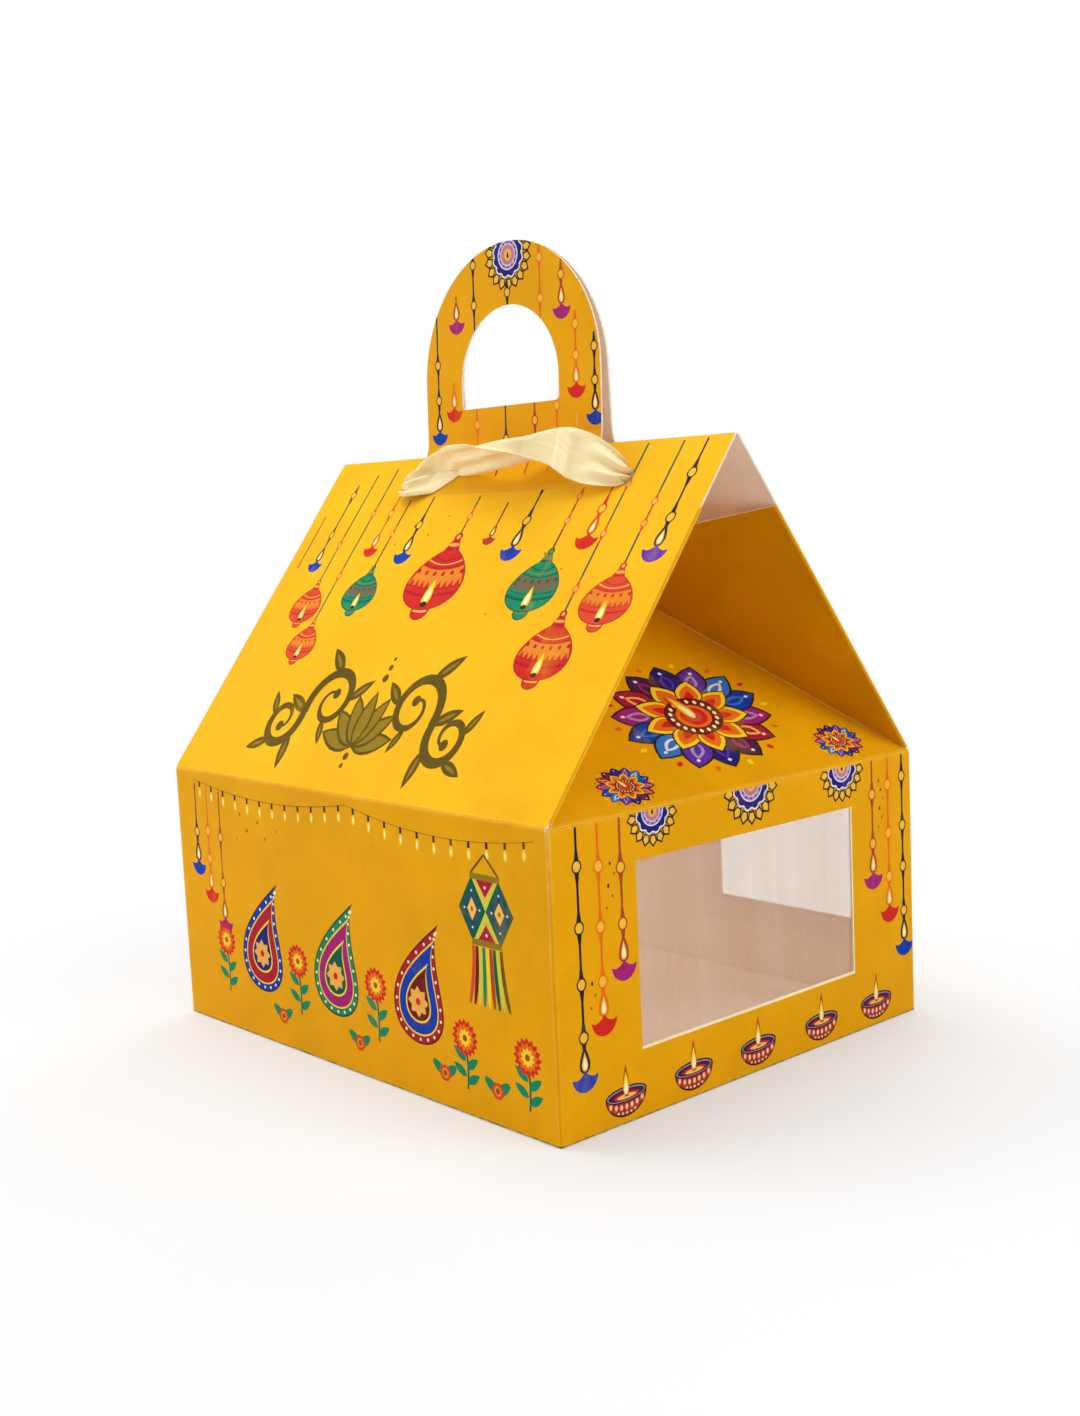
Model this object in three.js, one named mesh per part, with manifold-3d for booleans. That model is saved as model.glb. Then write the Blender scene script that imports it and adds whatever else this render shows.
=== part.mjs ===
// A hut-shaped gift carton of creased paperboard: four walls with clear windows in the ends and the
// back, a gabled roof that opens on its eaves, folding gussets in both gables, an arched handle of
// two plies with a finger hole, and a satin ribbon across the handle's front.
// Millimetres, +Z up. X runs along the ridge, -Y is the front, and the origin is the middle of the base.

import * as THREE from "three";
import { mergeVertices } from "three/addons/utils/BufferGeometryUtils.js";
import Module from "manifold-3d";

const wasm = await Module();
wasm.setup();

// The carton's body
const WIDTH = 152;
const DEPTH = 127;
const WALL_HEIGHT = 69;
const BOARD = 0.5;

// Folds: a slanted panel starts CREASE_GAP from its crease, and loose neighbours keep CLEARANCE
const CREASE_GAP = 1.2;
const CLEARANCE = 0.3;

// The base, of two short flaps under the contents and two long ones that overlap below them
const SHORT_FLAP = 46;
const SHORT_FLAP_TAPER = 9;
const LONG_FLAP_OVERLAP = 30;
const LONG_FLAP_TAPER = 4;

// The seam that closes the ring of walls
const SEAM_WIDTH = 14;
const SEAM_TAPER = 6;

// Windows in the end walls, with a clear film behind. The back wall's own window is as high at its
// top, and stands off the middle: a post is left between it and the right end.
const WINDOW_WIDTH = 76;
const WINDOW_HEIGHT = 42;
const WINDOW_SILL = 16;
const WINDOW_CORNER = 1.5;
const BACK_WINDOW_WIDTH = 54.5;
const BACK_WINDOW_SILL = 21.5;
const BACK_WINDOW_POST = 12;
const FILM = 0.2;
const FILM_MARGIN = 7;

// The roof and its gussets, whose folds end GUSSET_DROP below the ridge
const ROOF_RISE = 82;
const GUSSET_DROP = 21.7;
const FLAP_SETBACK = 0.4;
const WEB_SETBACK = 1.6;
const WEB_RELIEF_DEG = 4.5;

// The handle, whose foot is creased on the roof HANDLE_FOOT below the ridge
const HANDLE_WIDTH = 68;
const HANDLE_RISE = 52.5;
const HANDLE_FOOT = 13.7;
const HANDLE_BEND_RISE = 1;
const HANDLE_SPREAD = 3;
const FINGER_HOLE_WIDTH = 38;
const FINGER_HOLE_RISE = 11;
const FINGER_HOLE_HEIGHT = 25.5;

// The ribbon, with its two holes in the front slope and a knot behind each. A bridge is the board
// left between a hole and the handle's notch.
const RIBBON_WIDTH = 12.7;
const RIBBON = 0.5;
const RIBBON_HOLE = 5;
const RIBBON_HOLE_DROP = 11.8;
const LEFT_BRIDGE = 1.2;
const RIGHT_BRIDGE = 10.2;
const RIBBON_GATHERED = 3.6;
const RIBBON_STANDOFF = 0.5;
const RIBBON_CLIMB = 2.8;
const KNOT_WIDTH = 7;
const KNOT_DEPTH = 5;

// Fineness of round stretches
const ARC_STEPS = 24;
const CORNER_STEPS = 4;
const RIBBON_STEPS = 36;

// Angles of the closed roof. The lean of a slope and that of a gable flap are from upright, the
// crease angle is between a slope's side edge and the gusset's diagonal, and the web angle is what
// opens between a slope and the gusset web behind it.
const SLOPE_LEAN = Math.atan2(DEPTH / 2, ROOF_RISE);
const SLOPE_LENGTH = Math.hypot(DEPTH / 2, ROOF_RISE);
const GUSSET_HEIGHT = SLOPE_LENGTH - GUSSET_DROP;
const CREASE_ANGLE = Math.atan2(DEPTH / 2, GUSSET_HEIGHT);
const FLAP_LEAN = Math.acos((1 - Math.sin(SLOPE_LEAN) * Math.tan(CREASE_ANGLE)) / Math.cos(SLOPE_LEAN));
const WEB_ANGLE = Math.acos(Math.sin(FLAP_LEAN) / Math.tan(CREASE_ANGLE));
const RIDGE_HEIGHT = WALL_HEIGHT + ROOF_RISE;

// The handle's bend in profile: x is the depth from the middle and y is the height
const HANDLE_CREASE = new THREE.Vector2(
  -HANDLE_FOOT * Math.sin(SLOPE_LEAN),
  RIDGE_HEIGHT - HANDLE_FOOT * Math.cos(SLOPE_LEAN),
);
const HANDLE_BEND = new THREE.Vector2(-HANDLE_SPREAD / 2 - BOARD, RIDGE_HEIGHT + HANDLE_BEND_RISE);
const FOOT_LEAN = Math.atan2(HANDLE_BEND.x - HANDLE_CREASE.x, HANDLE_BEND.y - HANDLE_CREASE.y);

// Where the ribbon's holes are, and how far its turn stands off the slope to pass the handle's foot
const NOTCH_HALF = HANDLE_WIDTH / 2 + CLEARANCE;
const RIBBON_LEFT = -NOTCH_HALF - LEFT_BRIDGE - RIBBON_HOLE / 2;
const RIBBON_RIGHT = NOTCH_HALF + RIGHT_BRIDGE + RIBBON_HOLE / 2;
const FOOT_RISE = SLOPE_LEAN - FOOT_LEAN;
const TURN_REACH = HANDLE_FOOT - RIBBON_HOLE_DROP + RIBBON_CLIMB;
const TURN_STANDOFF = RIBBON_WIDTH / 2 + RIBBON_STANDOFF;
const RIBBON_LIFT = (TURN_STANDOFF + TURN_REACH * Math.sin(FOOT_RISE)) / Math.cos(FOOT_RISE);

// Each side of the carton, turned about Z from the front
const TURN = { front: 0, right: Math.PI / 2, back: Math.PI, left: -Math.PI / 2 };

// The windows, each in its own wall's frame, in which the back wall's left edge is the right end
const WINDOW_TOP = WINDOW_SILL + WINDOW_HEIGHT;
const END_WINDOW = { left: -WINDOW_WIDTH / 2, right: WINDOW_WIDTH / 2, sill: WINDOW_SILL };
const BACK_WINDOW = {
  left: BACK_WINDOW_POST - WIDTH / 2,
  right: BACK_WINDOW_POST - WIDTH / 2 + BACK_WINDOW_WIDTH,
  sill: BACK_WINDOW_SILL,
};
const WINDOWS = { left: END_WINDOW, right: END_WINDOW, back: BACK_WINDOW };

// Finishes: printed board, clear film and satin
const BOARD_FINISH = { color: 0xe8a81c, roughness: 0.45, metalness: 0 };
const FILM_FINISH = { color: 0xeef1f2, roughness: 0.08, metalness: 0, transparent: true, opacity: 0.25 };
const SATIN_FINISH = { color: 0xf0ddb0, roughness: 0.4, metalness: 0 };

// A named mesh with its own material.
function piece(name, geometry, finish) {
  const mesh = new THREE.Mesh(geometry, new THREE.MeshStandardMaterial(finish));
  mesh.name = name;
  return mesh;
}

// A group that turns a panel's parent to one side of the carton.
function sideGroup(side) {
  const group = new THREE.Group();
  group.rotation.z = TURN[side];
  return group;
}

// A flat outline through the given corners.
function outline(corners) {
  return new THREE.Shape(corners.map(([x, y]) => new THREE.Vector2(x, y)));
}

// A sheet of the given outline, from lowest to lowest + thickness along its own Z.
function sheet(shape, lowest, thickness, steps = CORNER_STEPS) {
  const geometry = new THREE.ExtrudeGeometry(shape, { depth: thickness, bevelEnabled: false, curveSegments: steps });
  return geometry.translate(0, 0, lowest);
}

// A rectangle with round corners, as a path that can bound a sheet or cut it.
function roundedRectangle(path, left, bottom, right, top, radius) {
  path.moveTo(left + radius, bottom);
  path.lineTo(right - radius, bottom);
  path.absarc(right - radius, bottom + radius, radius, -Math.PI / 2, 0);
  path.lineTo(right, top - radius);
  path.absarc(right - radius, top - radius, radius, 0, Math.PI / 2);
  path.lineTo(left + radius, top);
  path.absarc(left + radius, top - radius, radius, Math.PI / 2, Math.PI);
  path.lineTo(left, bottom + radius);
  path.absarc(left + radius, bottom + radius, radius, Math.PI, 1.5 * Math.PI);
  return path;
}

// A doorway shape, flat below and round above, standing on the given floor.
function archway(path, width, floor, height) {
  const radius = width / 2;
  path.moveTo(-radius, floor);
  path.lineTo(radius, floor);
  path.lineTo(radius, floor + height - radius);
  path.absarc(0, floor + height - radius, radius, 0, Math.PI);
  path.lineTo(-radius, floor);
  return path;
}

// The solid of a geometry, for cutting.
function solidOf(geometry) {
  const bare = geometry.clone();
  bare.deleteAttribute("normal");
  bare.deleteAttribute("uv");
  const merged = mergeVertices(bare);
  const vertProperties = Float32Array.from(merged.attributes.position.array);
  const triVerts = Uint32Array.from(merged.index.array);
  return new wasm.Manifold(new wasm.Mesh({ numProp: 3, vertProperties, triVerts }));
}

// The geometry of a solid after cutting.
function geometryOf(solid) {
  const mesh = solid.getMesh();
  const geometry = new THREE.BufferGeometry();
  geometry.setAttribute("position", new THREE.BufferAttribute(Float32Array.from(mesh.vertProperties), 3));
  geometry.setIndex(new THREE.BufferAttribute(Uint32Array.from(mesh.triVerts), 1));
  geometry.computeVertexNormals();
  return geometry;
}

// Walls: the long ones run past the ends of the short ones, which stand between them.
function wall(side) {
  const long = side === "front" || side === "back";
  const span = long ? WIDTH : DEPTH - 2 * BOARD;
  const reach = (long ? DEPTH : WIDTH) / 2;
  const face = outline([
    [-span / 2, 0],
    [span / 2, 0],
    [span / 2, WALL_HEIGHT],
    [-span / 2, WALL_HEIGHT],
  ]);
  if (side in WINDOWS) {
    const { left, right, sill } = WINDOWS[side];
    face.holes.push(roundedRectangle(new THREE.Path(), left, sill, right, WINDOW_TOP, WINDOW_CORNER));
  }
  const mesh = piece(`wall_${side}`, sheet(face, -BOARD, BOARD), BOARD_FINISH);
  mesh.rotation.x = Math.PI / 2;
  mesh.position.y = -reach;
  return mesh;
}

// The clear film glued behind a window.
function windowFilm(side) {
  const { left, right, sill } = WINDOWS[side];
  const face = outline([
    [left - FILM_MARGIN, sill - FILM_MARGIN],
    [right + FILM_MARGIN, sill - FILM_MARGIN],
    [right + FILM_MARGIN, WINDOW_TOP + FILM_MARGIN],
    [left - FILM_MARGIN, WINDOW_TOP + FILM_MARGIN],
  ]);
  const mesh = piece(`window_film_${side}`, sheet(face, -FILM, FILM), FILM_FINISH);
  mesh.rotation.x = Math.PI / 2;
  mesh.position.y = -(side === "back" ? DEPTH : WIDTH) / 2 + BOARD;
  return mesh;
}

// The seam flap, folded from the left wall and glued inside the back wall.
function glueSeam() {
  const near = WIDTH / 2 - BOARD;
  const far = near - SEAM_WIDTH;
  const foot = 3 * BOARD + CLEARANCE;
  const face = outline([
    [far, foot + SEAM_TAPER],
    [near, foot],
    [near, WALL_HEIGHT - CLEARANCE],
    [far, WALL_HEIGHT - CLEARANCE - SEAM_TAPER],
  ]);
  const mesh = piece("glue_seam", sheet(face, -BOARD, BOARD), BOARD_FINISH);
  mesh.rotation.x = Math.PI / 2;
  mesh.position.y = -DEPTH / 2 + BOARD;
  return mesh;
}

// A base flap: it reaches inwards from its wall, narrower at its free edge, on its own layer.
function baseFlap(side, length, taper, layer) {
  const long = side === "front" || side === "back";
  const half = (long ? WIDTH : DEPTH) / 2 - BOARD;
  const start = -((long ? DEPTH : WIDTH) / 2 - BOARD);
  const face = outline([
    [-half, start],
    [half, start],
    [half - taper, start + length],
    [taper - half, start + length],
  ]);
  return piece(`base_flap_${side}`, sheet(face, layer * BOARD, BOARD), BOARD_FINISH);
}

// A slope's own frame: Y runs up the slope from the eave and Z points outwards.
function slopeFrame() {
  const frame = new THREE.Group();
  frame.position.set(0, -DEPTH / 2, WALL_HEIGHT);
  frame.rotation.x = Math.PI / 2 - SLOPE_LEAN;
  return frame;
}

// A roof slope: the handle's foot stands in the notch at its top edge.
function roofSlope(side, holes) {
  const half = WIDTH / 2;
  const top = (DEPTH / 2 - BOARD * Math.cos(SLOPE_LEAN) - CLEARANCE / 2) / Math.sin(SLOPE_LEAN);
  const crease = SLOPE_LENGTH - HANDLE_FOOT;
  const face = outline([
    [-half, CREASE_GAP],
    [half, CREASE_GAP],
    [half, top],
    [NOTCH_HALF, top],
    [NOTCH_HALF, crease],
    [-NOTCH_HALF, crease],
    [-NOTCH_HALF, top],
    [-half, top],
  ]);
  for (const x of holes) {
    const hole = new THREE.Path();
    hole.absarc(x, SLOPE_LENGTH - RIBBON_HOLE_DROP, RIBBON_HOLE / 2, 0, 2 * Math.PI);
    face.holes.push(hole);
  }
  return piece(`roof_${side}`, sheet(face, -BOARD, BOARD, ARC_STEPS / 2), BOARD_FINISH);
}

// A gusset web in its slope's frame: a triangle on the slope's right or left edge, folded in behind
// it. Its diagonal edge keeps back from the gable flap by a setback and a relief that grows from the
// corner.
function gussetWeb(name, right) {
  const back = WEB_SETBACK / Math.cos(CREASE_ANGLE);
  const spread = Math.tan(CREASE_ANGLE - THREE.MathUtils.degToRad(WEB_RELIEF_DEG));
  const face = outline([
    [CREASE_GAP, (CREASE_GAP + back) / spread],
    [GUSSET_HEIGHT * spread - back, GUSSET_HEIGHT],
    [CREASE_GAP, GUSSET_HEIGHT],
  ]);
  const mesh = piece(name, sheet(face, right ? 0 : -BOARD, BOARD), BOARD_FINISH);
  mesh.rotation.y = right ? Math.PI - WEB_ANGLE : WEB_ANGLE;
  mesh.position.set((right ? 1 : -1) * (WIDTH / 2 - BOARD), 0, -BOARD);
  return mesh;
}

// A gable flap: the triangle that leans in from the top of an end wall.
function gableFlap(side) {
  const slant = Math.tan(CREASE_ANGLE);
  const half = DEPTH / 2 - FLAP_SETBACK / Math.cos(CREASE_ANGLE);
  const face = outline([
    [CREASE_GAP * slant - half, CREASE_GAP],
    [half - CREASE_GAP * slant, CREASE_GAP],
    [0, half / slant],
  ]);
  const mesh = piece(`gable_flap_${side}`, sheet(face, -BOARD, BOARD), BOARD_FINISH);
  mesh.rotation.x = Math.PI / 2 - FLAP_LEAN;
  mesh.position.set(0, -WIDTH / 2, WALL_HEIGHT);
  return mesh;
}

// The corner where two lines, each shifted sideways by the board, meet: the inside of a bend.
function insideBend(before, bend, after) {
  const inward = (from, to) => new THREE.Vector2(to.y - from.y, from.x - to.x).normalize();
  const first = inward(before, bend);
  const second = inward(bend, after);
  const half = first.clone().add(second).normalize();
  return bend.clone().addScaledVector(half, BOARD / half.dot(first));
}

// A handle ply: a strip bent at the ridge, cut to an arch with a finger hole.
function handlePly(side) {
  const top = RIDGE_HEIGHT + HANDLE_RISE;
  const tip = new THREE.Vector2(-CLEARANCE / 2 - BOARD, top);
  const rise = HANDLE_BEND.clone().sub(HANDLE_CREASE).normalize();
  const foot = HANDLE_CREASE.clone().addScaledVector(rise, CREASE_GAP);
  const footInside = foot.clone().addScaledVector(new THREE.Vector2(rise.y, -rise.x), BOARD);
  const bendInside = insideBend(foot, HANDLE_BEND, tip);
  const tipInside = new THREE.Vector2(-CLEARANCE / 2, top);
  const profile = new THREE.Shape([foot, HANDLE_BEND, tip, tipInside, bendInside, footInside]);
  const strip = sheet(profile, -HANDLE_WIDTH / 2, HANDLE_WIDTH);
  strip.applyMatrix4(new THREE.Matrix4().makeBasis(
    new THREE.Vector3(0, 1, 0),
    new THREE.Vector3(0, 0, 1),
    new THREE.Vector3(1, 0, 0),
  ));
  const arch = archway(new THREE.Shape(), HANDLE_WIDTH, WALL_HEIGHT, top - WALL_HEIGHT);
  const holeFloor = RIDGE_HEIGHT + FINGER_HOLE_RISE;
  arch.holes.push(archway(new THREE.Path(), FINGER_HOLE_WIDTH, holeFloor, FINGER_HOLE_HEIGHT));
  const cutter = sheet(arch, -DEPTH / 2, DEPTH, ARC_STEPS).rotateX(Math.PI / 2);
  return piece(`handle_${side}`, geometryOf(solidOf(strip).intersect(solidOf(cutter))), BOARD_FINISH);
}

// The ribbon in the front slope's frame. It comes up through the left hole, spreads, stands off the
// slope, turns over once in the middle and gathers again into the right hole. Each row of the route
// gives x, the way up the slope from the holes, the height off the slope, the width and the turn.
function ribbon() {
  const below = -BOARD - CLEARANCE;
  const span = RIBBON_RIGHT - RIBBON_LEFT;
  const route = [
    [0, 0, below, RIBBON_GATHERED, 0],
    [0, 0, BOARD, RIBBON_GATHERED, 0],
    [0.03, 0.1, 0.35, RIBBON_GATHERED, 0],
    [0.1, 0.4, 0.58, 0.75 * RIBBON_WIDTH, 0],
    [0.24, 0.8, 0.76, RIBBON_WIDTH, 0.02],
    [0.4, 0.95, 0.92, RIBBON_WIDTH, 0.2],
    [0.55, 1, 1, RIBBON_WIDTH, 0.5],
    [0.7, 1, 1, RIBBON_WIDTH, 0.8],
    [0.83, 0.6, 0.9, RIBBON_WIDTH, 0.98],
    [0.93, 0.25, 0.68, 0.7 * RIBBON_WIDTH, 1],
    [0.985, 0.05, 0.38, RIBBON_GATHERED, 1],
    [1, 0, BOARD, RIBBON_GATHERED, 1],
    [1, 0, below, RIBBON_GATHERED, 1],
  ];
  const holeLine = SLOPE_LENGTH - RIBBON_HOLE_DROP;
  const last = route.length - 1;
  const inHole = (row) => row < 2 || row > last - 2;
  const points = route.map(([x, climb, lift], row) => new THREE.Vector3(
    RIBBON_LEFT + x * span,
    holeLine + climb * RIBBON_CLIMB,
    inHole(row) ? lift : lift * RIBBON_LIFT,
  ));
  const curve = new THREE.CatmullRomCurve3(points, false, "centripetal");
  const upright = new THREE.Vector3(0, Math.cos(SLOPE_LEAN), Math.sin(SLOPE_LEAN));
  const sections = [];
  for (let step = 0; step <= RIBBON_STEPS; step += 1) {
    const place = (step / RIBBON_STEPS) * last;
    const row = Math.min(Math.floor(place), last - 1);
    const share = place - row;
    const width = THREE.MathUtils.lerp(route[row][3], route[row + 1][3], share);
    const turn = THREE.MathUtils.lerp(route[row][4], route[row + 1][4], share) * Math.PI;
    const centre = curve.getPoint(place / last);
    const along = curve.getTangent(place / last);
    const across = upright.clone().addScaledVector(along, -upright.dot(along)).normalize();
    across.applyAxisAngle(along, turn);
    const outward = new THREE.Vector3().crossVectors(along, across);
    for (const [a, o] of [[-1, -1], [1, -1], [1, 1], [-1, 1]]) {
      const corner = centre.clone().addScaledVector(across, (a * width) / 2);
      sections.push(corner.addScaledVector(outward, (o * RIBBON) / 2));
    }
  }
  return piece("ribbon", prism(sections, 4), SATIN_FINISH);
}

// A closed skin over rings of the same number of points.
function prism(points, sides) {
  const rings = points.length / sides;
  const faces = [];
  for (let ring = 0; ring + 1 < rings; ring += 1) {
    for (let side = 0; side < sides; side += 1) {
      const a = ring * sides + side;
      const b = ring * sides + ((side + 1) % sides);
      faces.push(a, b, b + sides, a, b + sides, a + sides);
    }
  }
  const end = (rings - 1) * sides;
  for (let side = 1; side + 1 < sides; side += 1) {
    faces.push(0, side + 1, side, end, end + side, end + side + 1);
  }
  const geometry = new THREE.BufferGeometry().setFromPoints(points);
  geometry.setIndex(faces);
  geometry.computeVertexNormals();
  return geometry;
}

// A ribbon knot, drawn up against the inside of the front slope.
function ribbonKnot(side, x) {
  const geometry = new THREE.SphereGeometry(0.5, 14, 10);
  geometry.scale(KNOT_WIDTH, KNOT_WIDTH, KNOT_DEPTH);
  const mesh = piece(`ribbon_knot_${side}`, geometry, SATIN_FINISH);
  mesh.position.set(x, SLOPE_LENGTH - RIBBON_HOLE_DROP, -BOARD - 2 * CLEARANCE - KNOT_DEPTH / 2);
  return mesh;
}

// The assembly, side by side
const carton = new THREE.Group();
const sides = {};
for (const side of Object.keys(TURN)) {
  sides[side] = sideGroup(side);
  sides[side].add(wall(side));
  carton.add(sides[side]);
}

for (const side of Object.keys(WINDOWS)) {
  sides[side].add(windowFilm(side));
}

for (const side of ["left", "right"]) {
  sides[side].add(baseFlap(side, SHORT_FLAP, SHORT_FLAP_TAPER, 2));
  sides[side].add(gableFlap(side));
}

const longFlap = DEPTH / 2 - BOARD + LONG_FLAP_OVERLAP / 2;
sides.front.add(baseFlap("front", longFlap, LONG_FLAP_TAPER, 1));
sides.back.add(baseFlap("back", longFlap, LONG_FLAP_TAPER, 0));
sides.back.add(glueSeam());

const slopes = {};
for (const side of ["front", "back"]) {
  const slope = slopeFrame();
  slope.add(roofSlope(side, side === "front" ? [RIBBON_LEFT, RIBBON_RIGHT] : []));
  sides[side].add(slope, handlePly(side));
  slopes[side] = slope;
}

// The back slope is turned half round, so its own right edge is at the carton's left end
slopes.front.add(gussetWeb("gusset_web_front_right", true), gussetWeb("gusset_web_front_left", false));
slopes.back.add(gussetWeb("gusset_web_back_left", true), gussetWeb("gusset_web_back_right", false));

slopes.front.add(ribbon());
slopes.front.add(ribbonKnot("left", RIBBON_LEFT), ribbonKnot("right", RIBBON_RIGHT));

export default carton;
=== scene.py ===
"""A hut-shaped gift carton of printed board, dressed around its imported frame.

Panels, folds and print are worked out in millimetres, and every object is in metres.
"""

import logging
import math
from collections.abc import Iterator
from dataclasses import dataclass, field
from enum import Enum
from functools import cached_property
from typing import Protocol

import bpy
from mathutils import Matrix, Vector
from mathutils.geometry import delaunay_2d_cdt


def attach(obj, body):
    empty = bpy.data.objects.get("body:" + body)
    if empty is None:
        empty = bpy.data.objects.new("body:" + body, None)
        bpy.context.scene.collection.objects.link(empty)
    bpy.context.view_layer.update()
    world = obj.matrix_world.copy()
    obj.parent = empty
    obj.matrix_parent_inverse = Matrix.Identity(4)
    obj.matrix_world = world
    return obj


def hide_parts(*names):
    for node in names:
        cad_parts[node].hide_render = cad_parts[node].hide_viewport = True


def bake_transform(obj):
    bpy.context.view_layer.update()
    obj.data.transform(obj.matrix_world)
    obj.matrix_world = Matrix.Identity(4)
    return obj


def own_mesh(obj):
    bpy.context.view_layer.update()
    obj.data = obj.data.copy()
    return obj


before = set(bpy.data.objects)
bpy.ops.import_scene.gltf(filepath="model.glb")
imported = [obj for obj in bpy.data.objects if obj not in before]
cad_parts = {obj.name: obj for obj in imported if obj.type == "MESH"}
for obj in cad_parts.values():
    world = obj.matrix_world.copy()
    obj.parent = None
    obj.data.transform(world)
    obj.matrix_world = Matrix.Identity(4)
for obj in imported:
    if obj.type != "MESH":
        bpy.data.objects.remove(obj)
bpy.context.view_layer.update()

LOG = logging.getLogger("carton")
MM = 0.001
UP = Vector((0, 0, 1))

Point = tuple[float, float]
Outline = list[Point]
Colour = tuple[float, float, float, float]
Socket = bpy.types.NodeSocket


def to_linear(value: float) -> float:
    """Turns one sRGB value from 0 to 255 into a scene-linear share."""
    share = value / 255
    return share / 12.92 if share <= 0.04045 else ((share + 0.055) / 1.055) ** 2.4


def colour(red: float, green: float, blue: float) -> Colour:
    """Turns an sRGB colour from 0 to 255 into a scene-linear one."""
    return (to_linear(red), to_linear(green), to_linear(blue), 1.0)


class Ink(Enum):
    """Printing inks, as sRGB values from 0 to 255."""

    GOLD = (238, 168, 5)
    # A lighter copy of the gold for the roof slopes: painted light on board that faces up.
    SUN = (250, 189, 27)
    # A darker copy of the gold for the gusset webs: painted shade under the roof.
    SHADED_GOLD = (214, 142, 3)
    BLACK = (46, 33, 27)
    BLUE = (20, 62, 172)
    NAVY = (34, 34, 122)
    INDIGO = (32, 30, 50)
    SKY = (52, 122, 205)
    PURPLE = (98, 50, 170)
    LILAC = (172, 148, 196)
    MAGENTA = (168, 34, 118)
    CRIMSON = (178, 30, 50)
    RED = (214, 40, 34)
    MAROON = (112, 28, 26)
    ORANGE = (238, 112, 26)
    CORAL = (218, 78, 48)
    FLAME = (234, 138, 40)
    STRAW = (248, 192, 62)
    UMBER = (120, 98, 74)
    PEACH = (246, 180, 84)
    HONEY = (250, 202, 92)
    YELLOW = (254, 216, 40)
    PALE = (255, 246, 196)
    WHITE = (238, 232, 228)
    CLAY = (176, 72, 44)
    RUST = (150, 48, 30)
    BLUSH = (248, 206, 176)
    MAUVE = (196, 128, 138)
    PLUM = (72, 36, 66)
    GREEN = (18, 138, 96)
    PINE = (12, 92, 70)
    TEAL = (24, 84, 104)
    LIME = (214, 212, 62)
    BRONZE = (98, 78, 16)
    OLIVE = (150, 122, 28)

    @property
    def linear(self) -> Colour:
        """The ink as the scene-linear colour that a mesh attribute holds."""
        return colour(*self.value)


@dataclass(frozen=True)
class CartonSizes:
    """The carton's driving sizes in millimetres, as its frame has them."""

    width: float = 152.0
    depth: float = 127.0
    wall_height: float = 69.0
    board: float = 0.5
    roof_rise: float = 82.0
    gusset_drop: float = 21.7
    corner_radius: float = 0.7
    fold_radius: float = 1.2
    hole_drop: float = 11.8
    hole_places: Point = (-38.0, 47.0)
    handle_foot: float = 13.7

    @property
    def lean(self) -> float:
        """The lean of a roof slope from upright."""
        return math.atan2(self.depth / 2, self.roof_rise)

    @property
    def slope_length(self) -> float:
        """The way up a slope from the eave to the ridge."""
        return math.hypot(self.depth / 2, self.roof_rise)

    @property
    def hole_line(self) -> float:
        """The way up the front slope to the ribbon's holes."""
        return self.slope_length - self.hole_drop

    @property
    def gusset_height(self) -> float:
        """The way up a slope to the top of the gusset behind it."""
        return self.slope_length - self.gusset_drop

    @property
    def crease_slant(self) -> float:
        """The gusset's diagonal: how far it runs in for each millimetre up."""
        return self.depth / 2 / self.gusset_height

    @property
    def flap_lean(self) -> float:
        """The lean of a gable flap from upright."""
        return math.acos((1 - math.sin(self.lean) * self.crease_slant) / math.cos(self.lean))

    @property
    def web_angle(self) -> float:
        """The angle between a slope and the gusset web behind it."""
        return math.acos(math.sin(self.flap_lean) / self.crease_slant)

    def fold_reach(self, angle: float) -> float:
        """How far a rounded fold of the given angle reaches from its crease."""
        return self.fold_radius * math.tan(angle / 2)


SIZES = CartonSizes()


@dataclass(frozen=True)
class Bend:
    """A fold of the board: where it starts, the board that it takes, and its angle inwards."""

    start: float
    length: float
    angle: float


@dataclass(frozen=True)
class Lay:
    """Where a developed panel lies: its own axes, and the folds that it takes along one of them.

    Folds are met going up the panel, or going both ways from its middle where both_ways is set.
    """

    origin: Vector
    right: Vector
    up: Vector
    bends: tuple[Bend, ...] = ()
    both_ways: bool = False

    @property
    def out(self) -> Vector:
        """The way out of the printed face where the panel starts."""
        return self.right.cross(self.up)

    def walk(self, distance: float) -> tuple[float, float, float]:
        """Follows the printed face through the folds.

        Args:
            distance: The way along the board.

        Returns:
            How far it has run, how far it has sunk inwards, and how far it has turned.
        """
        run, sink, turn, done = 0.0, 0.0, 0.0, 0.0
        for bend in self.bends:
            straight = max(0.0, min(distance, bend.start) - done)
            rate = bend.angle / bend.length
            after = turn + rate * min(max(0.0, distance - bend.start), bend.length)
            run += straight * math.cos(turn) + (math.sin(after) - math.sin(turn)) / rate
            sink += straight * math.sin(turn) + (math.cos(turn) - math.cos(after)) / rate
            turn, done = after, bend.start + bend.length
        straight = max(0.0, distance - done) if self.bends else distance
        return run + straight * math.cos(turn), sink + straight * math.sin(turn), turn

    def point(self, u: float, v: float, depth: float = 0.0) -> Vector:
        """The place of a point of the panel.

        Args:
            u: Across the panel.
            v: Up the panel.
            depth: Into the board from its printed face.

        Returns:
            The place in metres.
        """
        if self.both_ways:
            ahead, across, along = self.right * math.copysign(1, u), self.up * v, abs(u)
        else:
            ahead, across, along = self.up, self.right * u, v
        run, sink, turn = self.walk(along)
        normal = self.out * math.cos(turn) + ahead * math.sin(turn)
        return (self.origin + ahead * run - self.out * sink + across - normal * depth) * MM


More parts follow.
